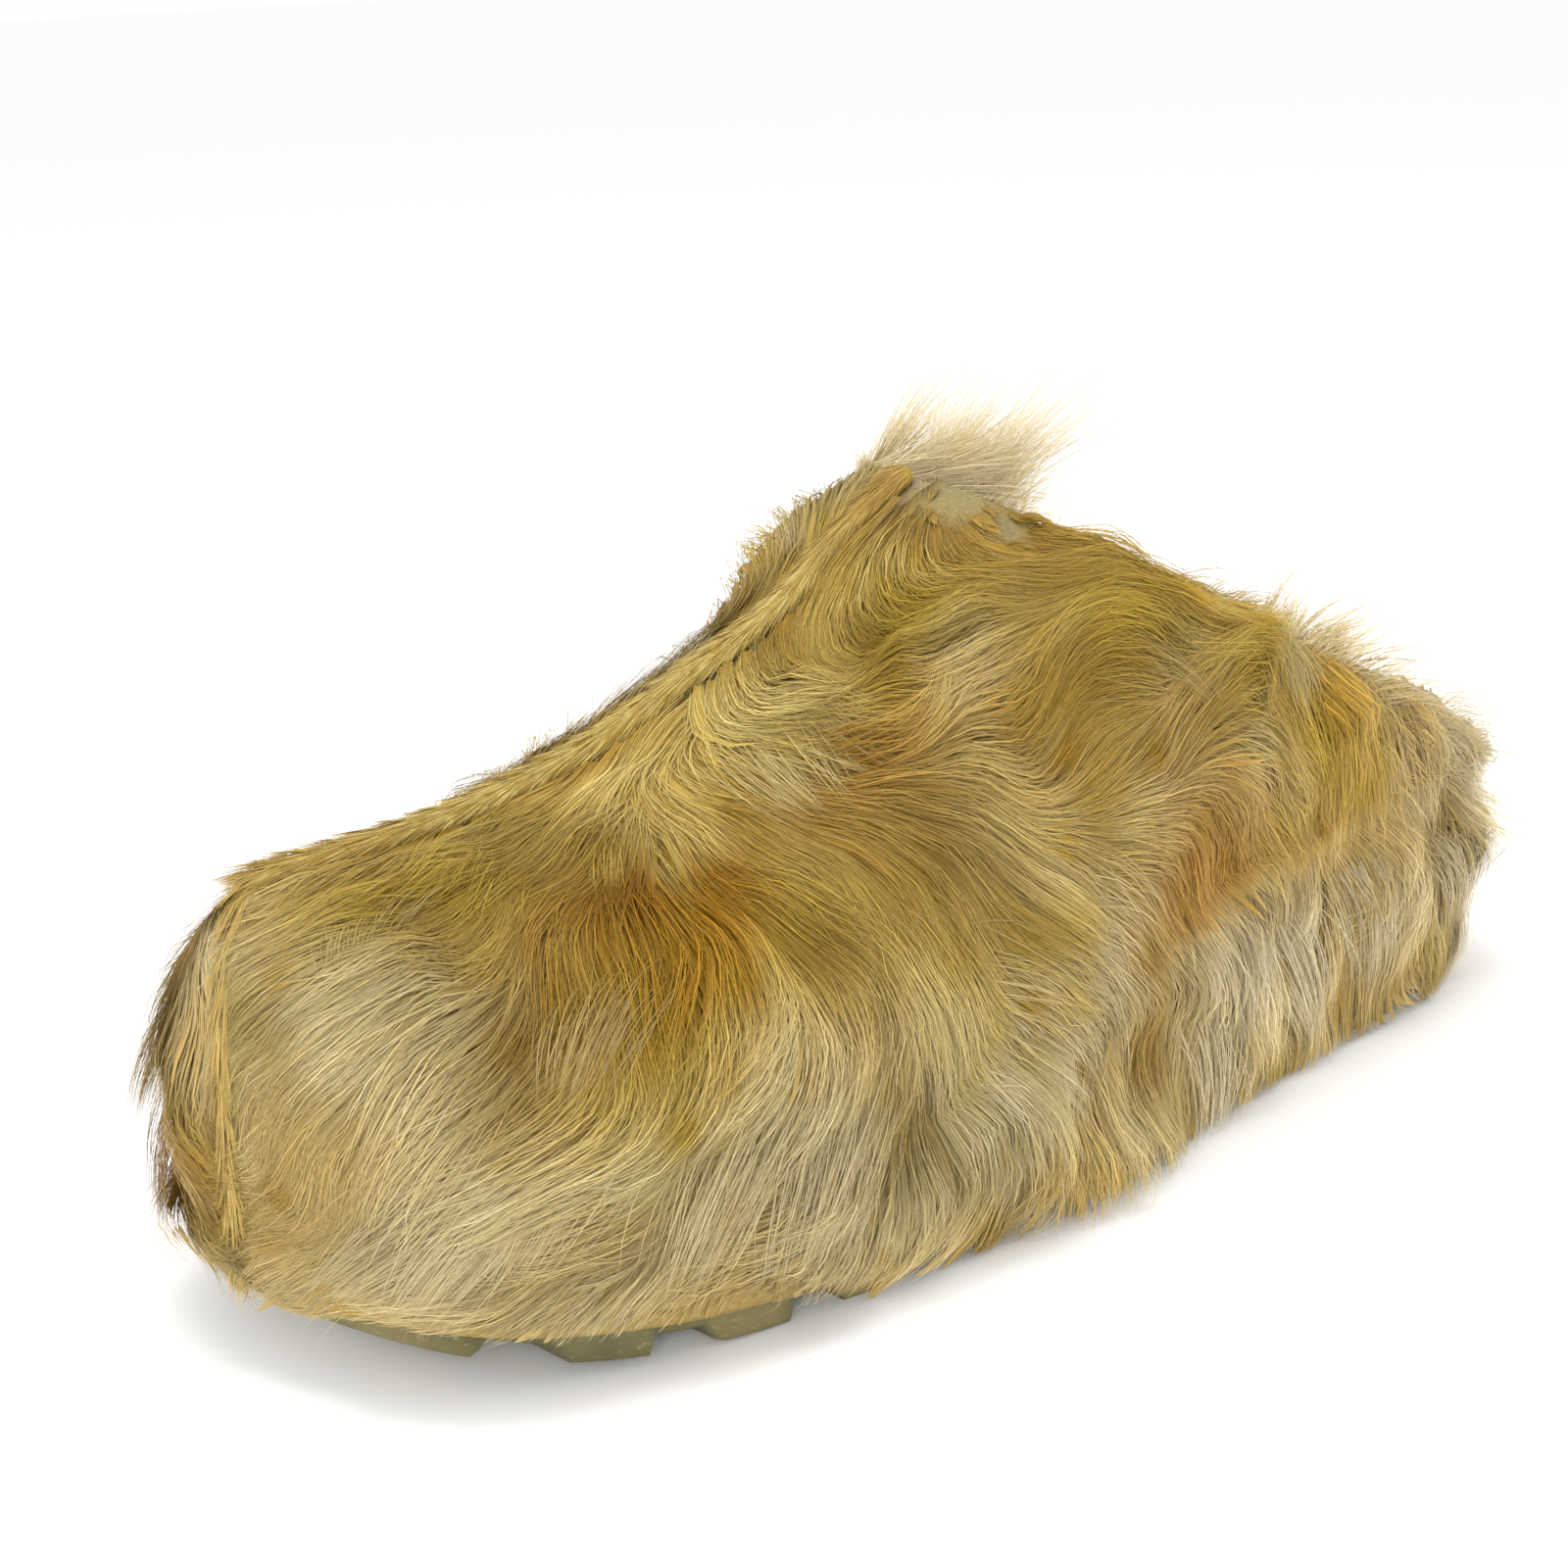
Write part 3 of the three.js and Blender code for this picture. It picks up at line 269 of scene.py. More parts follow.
def x_of(at):
    return SOLE_LENGTH * (at - HEEL_REST_AT)


def at_of(c):
    """Place along the foot of a place round it."""
    return share_of(np.mod(c, 2.0))


def side_of(c):
    return np.where(np.mod(c, 2.0) <= 1, 1.0, -1.0)


OUTLINE_BY_TURN = {**OUTLINE, "at": tuple(turn_of(np.array(OUTLINE["at"], float)))}


def local_half_width(at):
    """Half the foot's width, from the heel's to the ball's."""
    return blend(HEEL_WIDTH, BALL_WIDTH, smooth(at, 0.2, 0.56)) / 2


def reach(turn, side):
    """Reach of the outline from the foot's centre line, on one side."""
    first = OUTLINE_BY_TURN["at"][1]
    last = OUTLINE_BY_TURN["at"][-2]
    share = 0
    for column, wanted in (("outer", side > 0), ("inner", side <= 0)):
        value = table_value(OUTLINE_BY_TURN, column, turn)
        value = np.where(turn < first, turn / first * OUTLINE[column][1], value)
        value = np.where(turn > last, (1 - turn) / (1 - last) * OUTLINE[column][-2], value)
        share = share + np.where(wanted, value, 0)
    return share * local_half_width(share_of(turn))


def outline(c, out=0.0):
    """Plan point of the outline, moved out along its own normal."""

    def place(c):
        c = np.mod(c, 2.0)
        side = np.where(c <= 1, 1.0, -1.0)
        turn = np.where(c <= 1, c, 2 - c)
        return np.stack([x_of(share_of(turn)), side * reach(turn, side)], -1)

    step = 1e-3
    way = place(c + step) - place(c - step)
    way /= np.linalg.norm(way, axis=-1, keepdims=True)
    normal = np.stack([-way[..., 1], way[..., 0]], -1)
    return place(c) + normal * np.asarray(out, float)[..., None]


def spring(at):
    """Rise of the sole towards the toe: 0 behind the ball, 1 at the tip."""
    return np.maximum(0, (at - SPRING_FROM) / (1 - SPRING_FROM)) ** 2


def underside(at):
    """Height of the sole's underside, lifted at the toe and a little at the waist."""
    waist = smooth(at, 0.27, 0.36) - smooth(at, 0.46, 0.55)
    return TOE_SPRING * spring(at) + WAIST_RISE * waist


def outsole_top(at):
    return OUTSOLE_THICKNESS + (TOE_SPRING - TOE_THINNING) * spring(at)


def footbed_top(at):
    rise = table_value(FOOTBED, "rise", at)
    return outsole_top(at) + blend(FOOTBED_TOE_THICKNESS, FOOTBED_HEEL_THICKNESS, rise)


def hem_height(at):
    return BAND_HEM_HEIGHT + TOE_SPRING * spring(at)


def ridge_point(at):
    """Point of the ridge that the centre seam follows."""
    place = np.clip(at, SPINE_HEEL_AT, SPINE_TOE_AT)
    height = blend(TOE_HEIGHT, THROAT_HEIGHT, table_value(RIDGE, "rise", place))
    return np.stack([x_of(place), np.full_like(height, RIDGE_OFFSET), height], -1)


def topline_height(at, side):
    """Height of the upper's edge along the opening."""
    outer = table_value(TOPLINE, "outer", at)
    inner = table_value(TOPLINE, "inner", at)
    return blend(HEEL_RIM_HEIGHT, THROAT_HEIGHT, np.where(side > 0, outer, inner))


def surface(c, w):
    """Point of the hide."""
    c, w = np.broadcast_arrays(np.asarray(c, float), np.asarray(w, float))
    at = at_of(c)
    base = outline(c)
    ridge = ridge_point(at)
    power = 2 / table_value(RIDGE, "fullness", at)
    tent = table_value(RIDGE, "tent", at)
    angle = np.clip(w, 0, 1) * np.pi / 2
    out = np.where(w >= 1, 0, np.clip(np.cos(angle), 1e-9, 1) ** power)
    lift = np.sin(angle) ** power * (1 - tent) + (1 - out) * tent
    swell = out * (1 + SIDE_BULGE * np.sin(np.pi * lift))
    low = footbed_top(at) + GAP
    vamp_height = low + (ridge[..., 2] - low) * lift
    band_height = low + (low - hem_height(at)) * w
    return np.stack([
        ridge[..., 0] + (base[..., 0] - ridge[..., 0]) * swell,
        ridge[..., 1] + (base[..., 1] - ridge[..., 1]) * swell,
        np.where(w < 0, band_height, vamp_height),
    ], -1)


def unit(v):
    return v / np.maximum(np.linalg.norm(v, axis=-1, keepdims=True), 1e-9)


HIGHEST_W = 0.985


def hide_frame(c, w):
    """Point of the hide, its two rates of change by c and w, and its way out."""
    step = 1.5e-3
    inside = np.minimum(w, HIGHEST_W - step)
    by_c = (surface(c + step, inside) - surface(c - step, inside)) / (2 * step)
    by_w = (surface(c, inside + step) - surface(c, inside - step)) / (2 * step)
    return surface(c, w), by_c, by_w, unit(np.cross(by_w, by_c))


def ways_on_hide(by_c, by_w):
    """Unit ways along the foot and up the hide, square to each other."""
    along = unit(by_c)
    return along, unit(by_w - along * np.sum(by_w * along, -1, keepdims=True))


def topline_w(c):
    """How far up the side the hide reaches: 1 in front of the throat, less along the opening."""
    c = np.asarray(c, float)
    height = topline_height(at_of(c), side_of(c))
    low = np.zeros_like(c)
    high = np.ones_like(c)
    for _ in range(24):
        middle = (low + high) / 2
        below = surface(c, middle)[..., 2] < height
        low = np.where(below, middle, low)
        high = np.where(below, high, middle)
    return np.where(at_of(c) >= THROAT_AT, 1.0, low)


# Shares of the coat's depth lost at the toe and near the ridge, and ripples along the band
TOE_LOSS = 0.45
CREST_LOSS = 0.4
BAND_TOE_LOSS = 0.4
RIPPLE_DEPTH = 0.9
RIPPLE_TURN = 41


def coat_depth(c, w):
    """Depth of the vamp's coat: shallow at the seam and the topline, swelling between."""
    at = at_of(c)
    side = side_of(c)
    up = np.clip(w, 0, 1)
    body = np.sin(np.pi * np.clip(up * 0.95 + 0.05, 0, 1)) ** 0.7
    toe = 1 - TOE_LOSS * smooth(at, 0.93, 1)
    crest = 1 - CREST_LOSS * smooth(up, 0.6, 0.95)
    depth = blend(FUR_EDGE_DEPTH, FUR_DEPTH, body) * toe * crest
    for swell_side, swell_at, swell_up, along, across, swell_depth in SWELLS:
        swell = swell_depth * mound(at, up, swell_at, swell_up, along, across)
        depth = depth + np.where(side == swell_side, swell, 0)
    return np.maximum(depth, FUR_EDGE_DEPTH * 0.5)


def band_depth(c, w):
    """Depth of the band's coat, flaring out past the sole where its hair hangs long."""
    at = at_of(c)
    side = side_of(c)
    down = np.clip(-w, 0, 1.3)
    toe = 1 - BAND_TOE_LOSS * smooth(at, 0.93, 1)
    body = np.sin(np.pi * np.clip(0.12 + down * 0.75, 0, 1)) ** 0.7
    edge = blend(FUR_EDGE_DEPTH, BAND_HEM_DEPTH, np.minimum(down, 1))
    ripple = RIPPLE_DEPTH * np.sin(at * RIPPLE_TURN + side) * body
    depth = (blend(edge, BAND_FUR_DEPTH, body) + ripple) * toe
    for flare_side, flare_at, along, flare_depth in FLARES:
        strength = flare_depth * np.exp(-(((at - flare_at) / along) ** 2)) * down
        depth = depth + np.where(side == flare_side, strength, 0)
    return depth


def ripples(points, size, seed):
    """Smooth noise of about unit strength in space, from a few crossing waves."""
    draw = np.random.default_rng(seed)
    total = 0
    waves = 7
    for _ in range(waves):
        way = draw.normal(size=3)
        way *= 2 * np.pi / size * draw.uniform(0.6, 1.4) / np.linalg.norm(way)
        total = total + np.sin(points @ way + draw.uniform(0, 2 * np.pi))
    return total / math.sqrt(waves / 2)


def lie_angle(c, w):
    """Lie of the hair from the two tables, in radians."""
    at = np.clip(at_of(c), FLOW_AT[0], FLOW_AT[-1])
    w = np.clip(w, FLOW_W[0], FLOW_W[-1])
    column = np.clip(np.searchsorted(FLOW_AT, at) - 1, 0, len(FLOW_AT) - 2)
    row = np.clip(np.searchsorted(FLOW_W, w) - 1, 0, len(FLOW_W) - 2)
    places = np.array(FLOW_AT)
    levels = np.array(FLOW_W)
    s = (at - places[column]) / (places[column + 1] - places[column])
    t = (w - levels[row]) / (levels[row + 1] - levels[row])

    def read(grid):
        grid = np.array(grid, float)
        low = blend(grid[row, column], grid[row, column + 1], s)
        high = blend(grid[row + 1, column], grid[row + 1, column + 1], s)
        return blend(low, high, t)

    return np.radians(np.where(side_of(c) > 0, read(FLOW_OUTER), read(FLOW_INNER)))


def coat_colour(c, w, points):
    """Colour of the coat, from the patches over straw, with soft drifts of tone."""
    at = at_of(c)
    side = side_of(c)
    drift = ripples(points, 60, 11)[..., None]
    colour = blend(STRAW, CREAM, np.clip(0.35 + 0.3 * drift, 0, 1))
    for patch_side, patch_at, patch_w, along, across, tint, strength in PATCHES:
        far = ((at - patch_at) / along) ** 2 + ((w - patch_w) / across) ** 2
        edge = 0.75 + 0.35 * ripples(points, 14, 12)
        share = np.where(side == patch_side, strength * np.exp(-(far**1.3) * edge), 0)
        colour = blend(colour, tint, np.clip(share, 0, 1)[..., None])
    return colour


# Meshes

def shown(name, mesh):
    """An object in the scene that shows a mesh, smoothly shaded."""
    mesh.shade_smooth()
    piece = bpy.data.objects.new(name, mesh)
    bpy.context.scene.collection.objects.link(piece)
    return piece


def new_mesh(name, points, faces):
    """A mesh object from points in millimetres and faces of equal size given as an array."""
    mesh = bpy.data.meshes.new(name)
    points = np.asarray(points, np.float32).reshape(-1, 3) * MM
    faces = np.asarray(faces, np.int32)
    corners = faces.shape[1]
    mesh.vertices.add(len(points))
    mesh.vertices.foreach_set("co", points.ravel())
    mesh.loops.add(faces.size)
    mesh.loops.foreach_set("vertex_index", faces.ravel())
    mesh.polygons.add(len(faces))
    mesh.polygons.foreach_set("loop_start", np.arange(len(faces), dtype=np.int32) * corners)
    mesh.update(calc_edges=True)
    return shown(name, mesh)


def add_tone(piece, colours):
    """A colour at each vertex, read by the materials."""
    layer = piece.data.color_attributes.new("tone", "FLOAT_COLOR", "POINT")
    rgba = np.ones((len(piece.data.vertices), 4), np.float32)
    rgba[:, :3] = np.asarray(colours, np.float32).reshape(-1, 3)
    layer.data.foreach_set("color", rgba.ravel())


def dress(piece, material, slot, *nodes):
    """Material, body and the solids that a piece stands for. The slot is not used."""
    piece.data.materials.append(material)
    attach(piece, "root")
    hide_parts(*nodes)
    return piece


def grid_faces(rows, columns, offset=0):
    """Quads of an open grid of points stored row by row."""
    r, k = np.meshgrid(np.arange(rows - 1), np.arange(columns - 1), indexing="ij")
    a = (r * columns + k + offset).ravel()
    return np.stack([a, a + 1, a + columns + 1, a + columns], -1)


def thick_sheet(name, outside, inside):
    """A closed sheet between two grids of points of one size."""
    rows, columns = outside.shape[:2]
    count = rows * columns
    faces = [grid_faces(rows, columns), grid_faces(rows, columns, count)[:, ::-1]]
    index = np.arange(count).reshape(rows, columns)
    border = np.concatenate([index[0, :-1], index[:-1, -1], index[-1, :0:-1], index[:0:-1, 0]])
    after = np.roll(border, -1)
    faces.append(np.stack([after, border, border + count, after + count], -1))
    points = np.concatenate([outside.reshape(-1, 3), inside.reshape(-1, 3)])
    return new_mesh(name, points, np.concatenate(faces))


def stacked_loops(name, loops, across):
    """A closed body from loops round the foot, bottom to top, with both ends closed across it."""
    loops = np.asarray(loops)
    levels, size = loops.shape[:2]
    half = size // 2
    index = np.arange(levels * size).reshape(levels, size)
    low = index[:-1]
    high = index[1:]
    sides = np.stack([low, high, np.roll(high, -1, 1), np.roll(low, -1, 1)], -1).reshape(-1, 4)
    points = [loops.reshape(-1, 3)]
    faces = [sides]
    count = levels * size
    for level, flip in ((0, False), (levels - 1, True)):
        left = loops[level, 1:half]
        right = loops[level, :half:-1]
        share = np.linspace(0, 1, across + 1)[1:-1]
        inner = left[:, None] + (right - left)[:, None] * share[None, :, None]
        grid = np.zeros((half - 1, across + 1), int)
        grid[:, 0] = index[level, 1:half]
        grid[:, -1] = index[level, :half:-1]
        grid[:, 1:-1] = np.arange(inner.shape[0] * inner.shape[1]).reshape(inner.shape[:2]) + count
        count += inner.shape[0] * inner.shape[1]
        points.append(inner.reshape(-1, 3))
        quads = np.stack([grid[:-1, :-1], grid[1:, :-1], grid[1:, 1:], grid[:-1, 1:]], -1).reshape(-1, 4)
        ends = []
        for row, tip, turned in ((grid[0], index[level, 0], False), (grid[-1], index[level, half], True)):
            fan = np.stack([np.full(across, tip), row[:-1], row[1:], row[1:]], -1)
            ends.append(fan[:, [0, 2, 1, 1]] if turned else fan)
        caps = np.concatenate([quads, *ends])
        faces.append(caps[:, ::-1] if flip else caps)
    return polygon_mesh(name, np.concatenate(points), np.concatenate(faces))


def polygon_mesh(name, points, faces):
    """A mesh from quads, where one with a repeated corner is a triangle."""
    mesh = bpy.data.meshes.new(name)
    rows = []
    for face in faces.tolist():
        corners = [corner for i, corner in enumerate(face) if corner not in face[:i]]
        if len(corners) > 2:
            rows.append(corners)
    mesh.from_pydata((np.asarray(points) * MM).tolist(), [], rows)
    mesh.update()
    return shown(name, mesh)


def tube_along(name, path, outward, half_width, height, sides=14):
    """A closed tube with an oval section along a path, with round ends."""
    way = unit(np.gradient(path, axis=0))
    across = unit(np.cross(way, outward))
    out = np.cross(across, way)
    steps = len(path)
    share = np.linspace(0, 1, steps)
    cap = np.sqrt(np.clip(1 - (2 * np.clip(np.abs(share - 0.5) - 0.485, 0, 1) / 0.03) ** 2, 0.02, 1))
    angle = np.linspace(0, 2 * np.pi, sides, endpoint=False)
    ring = across[:, None] * np.cos(angle)[None, :, None] * np.reshape(half_width * cap, (-1, 1, 1))
    ring = ring + out[:, None] * np.sin(angle)[None, :, None] * np.reshape(height * cap, (-1, 1, 1))
    points = path[:, None] + ring
    index = np.arange(steps * sides).reshape(steps, sides)
    low = index[:-1]
    high = index[1:]
    faces = np.stack([low, np.roll(low, -1, 1), np.roll(high, -1, 1), high], -1).reshape(-1, 4)
    ends = []
    for row, flip in ((index[0], True), (index[-1], False)):
        for i in range(1, sides - 1):
            corner = [row[0], row[i], row[i + 1], row[i + 1]]
            ends.append([corner[0], corner[2], corner[1], corner[1]] if flip else corner)
    return polygon_mesh(name, points.reshape(-1, 3), np.concatenate([faces, np.array(ends)]))


# Hair

# Tints of the layers, then painted shade and highlight over the coat's waves, then along each hair
DEEP_TINT = (0.88, 0.83, 0.68)
TOP_TINT = (0.99, 1.0, 1.02)
# The guard hairs' tint: partly their paler colour, partly painted highlight
GUARD_PALE_AND_HIGHLIGHT_TINT = (1.22, 1.25, 1.35)
# Painted shade in the troughs of the coat's waves and painted highlight on their crests
TROUGH_PAINTED_SHADE = np.array((0.84, 0.78, 0.6))
CREST_PAINTED_HIGHLIGHT = np.array((1.1, 1.12, 1.16))
ROOT_TINT = np.array((0.8, 0.71, 0.5))
TIP_TONE = 1.14
WARMER = np.array((0.3, -0.2, -1.2))

# Slow changes over the coat, each by the size of its waves and a seed
SWIRLS = (45, 21)
CURLS = (17, 22)
WAVES = (34, 41)
SMALL_WAVES = (15, 42)

# How far they turn the hair, how much more where it is curly, and how far they raise and lower it
HAIR_SWIRL = math.radians(15)
HAIR_CURL = math.radians(9)
EXTRA_CURL = 1.4
WAVE_RISE = 0.42
SMALL_WAVE_RISE = 0.2

# Spread of the locks: range of lift, bend and wander in radians, tone and warmth as shares
LOCK_LIFT = (0.45, 1.3)
LOCK_BEND = 0.42
LOCK_WANDER = 0.17
LOCK_TONE = 0.06
LOCK_WARMTH = 0.05
CLUMP_TONE = 0.07

# Spread of the hairs in a lock, and how far hair may spill past the topline, as w
HAIR_WANDER = 0.07
HAIR_BEND = 0.12
HAIR_WARMTH = 0.03
TOPLINE_SPILL = 0.06

# A stray hair ignores its clump and stands this much higher
STRAY_LIFT = 1.3
CLUMP_PULL = 0.35

# How low hair may hang, as w: at waist and heel, in front, and for the vamp's hair behind the ball
LOWEST_W = -1.26
FRONT_LOWEST_W = -0.72
FURROW_W = -0.12

# Height of hair over the floor, height of a root over the hide, and steps along a hair
LOWEST_HAIR = 0.5
HIGHEST_HAIR = 129.5
ROOT_LIFT = 0.3
HAIR_STEPS = 5

# Tufts that stand off the coat: side, place along the foot, w, size along, size across, height
TUFTS = (
    (1, 0.05, -0.45, 0.05, 0.2, 7.0),
    (1, 0.06, 0.08, 0.05, 0.08, 5.0),
    (1, 0.13, 0.1, 0.03, 0.12, 3.0),
    (1, 0.25, 0.12, 0.035, 0.1, 5.0),
    (1, 0.33, 0.3, 0.03, 0.08, 3.0),
    (1, 0.54, 0.12, 0.03, 0.14, 4.5),
    (1, 0.93, 0.07, 0.035, 0.1, 4.0),
    (1, 0.62, 0.8, 0.03, 0.06, 4.0),
    (1, 0.57, 0.72, 0.025, 0.06, 3.0),
    (1, 0.8, 0.8, 0.015, 0.04, 4.0),
    (1, 0.9, 0.5, 0.03, 0.1, 2.5),
    (1, 0.72, 0.2, 0.05, 0.08, 2.5),
    (1, 0.46, 0.5, 0.04, 0.1, 3.0),
    (1, 0.38, 0.7, 0.02, 0.12, 4.0),
    (1, 0.3, 0.5, 0.02, 0.12, 3.5),
    (1, 0.42, 0.4, 0.025, 0.08, 3.0),
    (-1, 0.02, -0.25, 0.04, 0.3, 7.0),
    (-1, 0.97, 0.12, 0.04, 0.16, 4.0),
    (-1, 0.7, 0.4, 0.05, 0.1, 3.0),
)

# Where the outer coat is tight and curly: place along the foot, w, size along, size across
CURLY_SPOT = (0.42, 0.3, 0.09, 0.35)

# Where it is worn away by the throat, in the same order
BALD_SPOTS = ((0.462, 0.9, 0.02, 0.09), (0.463, 0.76, 0.014, 0.06))

# Stretches of the outer topline worn bare: place along the foot, size along
WORN_EDGES = ((0.375, 0.022), (0.17, 0.02))

TOPLINE_C = np.linspace(0, 2, 801)
TOPLINE_W = topline_w(TOPLINE_C)


def topline_near(c):
    """The topline's w from a table made once."""
    return np.interp(np.mod(c, 2.0), TOPLINE_C, TOPLINE_W)


def scatter(draw, count, c_range, w_range, wanted):
    """Places spread evenly over the hide by area, thinned where wanted is under 1."""
    found_c = []
    found_w = []
    total = 0
    while total < count:
        c = draw.uniform(*c_range, 3 * count)
        w = draw.uniform(*w_range, 3 * count)
        _, by_c, by_w, _ = hide_frame(c, w)
        area = np.linalg.norm(np.cross(by_c, by_w), axis=-1)
        chance = area / np.percentile(area, 98) * wanted(c, w)
        keep = draw.uniform(size=len(c)) < chance
        found_c.append(c[keep])
        found_w.append(w[keep])
        total += keep.sum()
    return np.concatenate(found_c)[:count], np.concatenate(found_w)[:count]


# Extra depth of the vamp's hair over the band, more behind the ball, and growth by the ridge
VAMP_OVERHANG = 2.4
REAR_OVERHANG = 2.5
CREST_GROWTH = {1: 0.3, -1: -0.4}


def hair_depth(c, w, from_vamp):
    """Height of the coat's top over the hide, also where vamp hair hangs over the band."""
    at = at_of(c)
    side = side_of(c)
    rear = 1 - smooth(at, 0.48, 0.6)
    furrow = 1 - 0.75 * (1 - from_vamp) * rear * (1 - smooth(-w, 0.05, 0.35))
    below = band_depth(c, w) * furrow
    below = below + from_vamp * (VAMP_OVERHANG * smooth(-w, 0, 0.3) + REAR_OVERHANG * rear)
    overhang = REAR_OVERHANG * rear * (1 - smooth(w, 0.0, 0.2))
    growth = np.where(side < 0, CREST_GROWTH[-1], CREST_GROWTH[1])
    crest = 1 + growth * smooth(w, 0.72, 0.95) * (at > THROAT_AT)
    depth = np.where(w < 0, below, coat_depth(c, w) * crest + overhang)
    for tuft_side, tuft_at, tuft_w, along, across, height in TUFTS:
        tuft = height * mound(at, w, tuft_at, tuft_w, along, across)
        depth = depth + np.where(side == tuft_side, tuft, 0)
    return depth


def rooted_share(c, w):
    """Where the roots stand on the underfur: less at the topline and on bald skin."""
    edge = np.clip((topline_near(c) + 0.01 - w) / 0.06, 0, 1)
    return np.where(at_of(c) > THROAT_AT, 1.0, edge) * (1 - bald_share(c, w))


def lowest_w(c, from_vamp):
    """How far down hair may hang: past the hem at the waist and heel, above the rubber in front.

    Behind the ball the hair of the vamp ends over the furrow, in front it hangs over the band.
    """
    at = at_of(c)
    front = smooth(at, 0.68, 0.8) * (1 - smooth(at, 0.975, 0.99))
    hang = blend(LOWEST_W, FRONT_LOWEST_W, front)
    return np.where(from_vamp > 0, blend(FURROW_W, hang, smooth(at, 0.47, 0.6)), hang)


def curly_share(c, w):
    """1 where the coat is tight and curly: the outer side behind the ball."""
    return np.where(side_of(c) > 0, mound(at_of(c), w, *CURLY_SPOT), 0)


def grow(c, w, length, ceiling, wander, bend):
    """Paths of hairs over the hide: points on it, ways out of it, and places."""
    points = []
    normals = []
    places = []
    step = length / HAIR_STEPS
    for k in range(HAIR_STEPS + 1):
        point, by_c, by_w, normal = hide_frame(c, w)
        points.append(point)
        normals.append(normal)
        places.append((c, w))
        angle = lie_angle(c, w) + wander + bend * (k / HAIR_STEPS) ** 1.5
        curl = HAIR_CURL * (1 + EXTRA_CURL * curly_share(c, w))
        angle = angle + HAIR_SWIRL * ripples(point, *SWIRLS) + curl * ripples(point, *CURLS)
        along, upward = ways_on_hide(by_c, by_w)
        rise = step * np.sin(angle) / np.maximum(np.sum(by_w * upward, -1), 1)
        slant = rise * np.sum(by_w * along, -1)
        heelward = np.where(side_of(c) > 0, -1, 1)
        run = (step * np.cos(angle) * heelward - slant) / np.maximum(np.linalg.norm(by_c, axis=-1), 1)
        c = c + np.clip(run, -0.05, 0.05)
        w = np.minimum(w + rise, np.minimum(topline_near(c) + ceiling, HIGHEST_W))
    c_path = np.stack([p[0] for p in places], 1)
    w_path = np.stack([p[1] for p in places], 1)
    return np.stack(points, 1), np.stack(normals, 1), c_path, w_path


def clear_share(c_path, w_path, from_vamp, jitter):
    """Share of each path before it hangs too low or runs onto bald skin."""
    too_bald = 0.35
    shortest_share = 0.2
    stopped = w_path < lowest_w(c_path, from_vamp) + jitter[:, None]
    stopped = stopped | (bald_share(c_path, w_path) > too_bald)
    first = np.where(stopped.any(1), stopped.argmax(1), HAIR_STEPS)
    return np.clip(first / HAIR_STEPS, shortest_share, 1)


def nearest(guides, points):
    """Index of the nearest guide to each point."""
    tree = kdtree.KDTree(len(guides))
    for i, guide in enumerate(guides):
        tree.insert(guide, i)
    tree.balance()
    return np.array([tree.find(point)[1] for point in points])


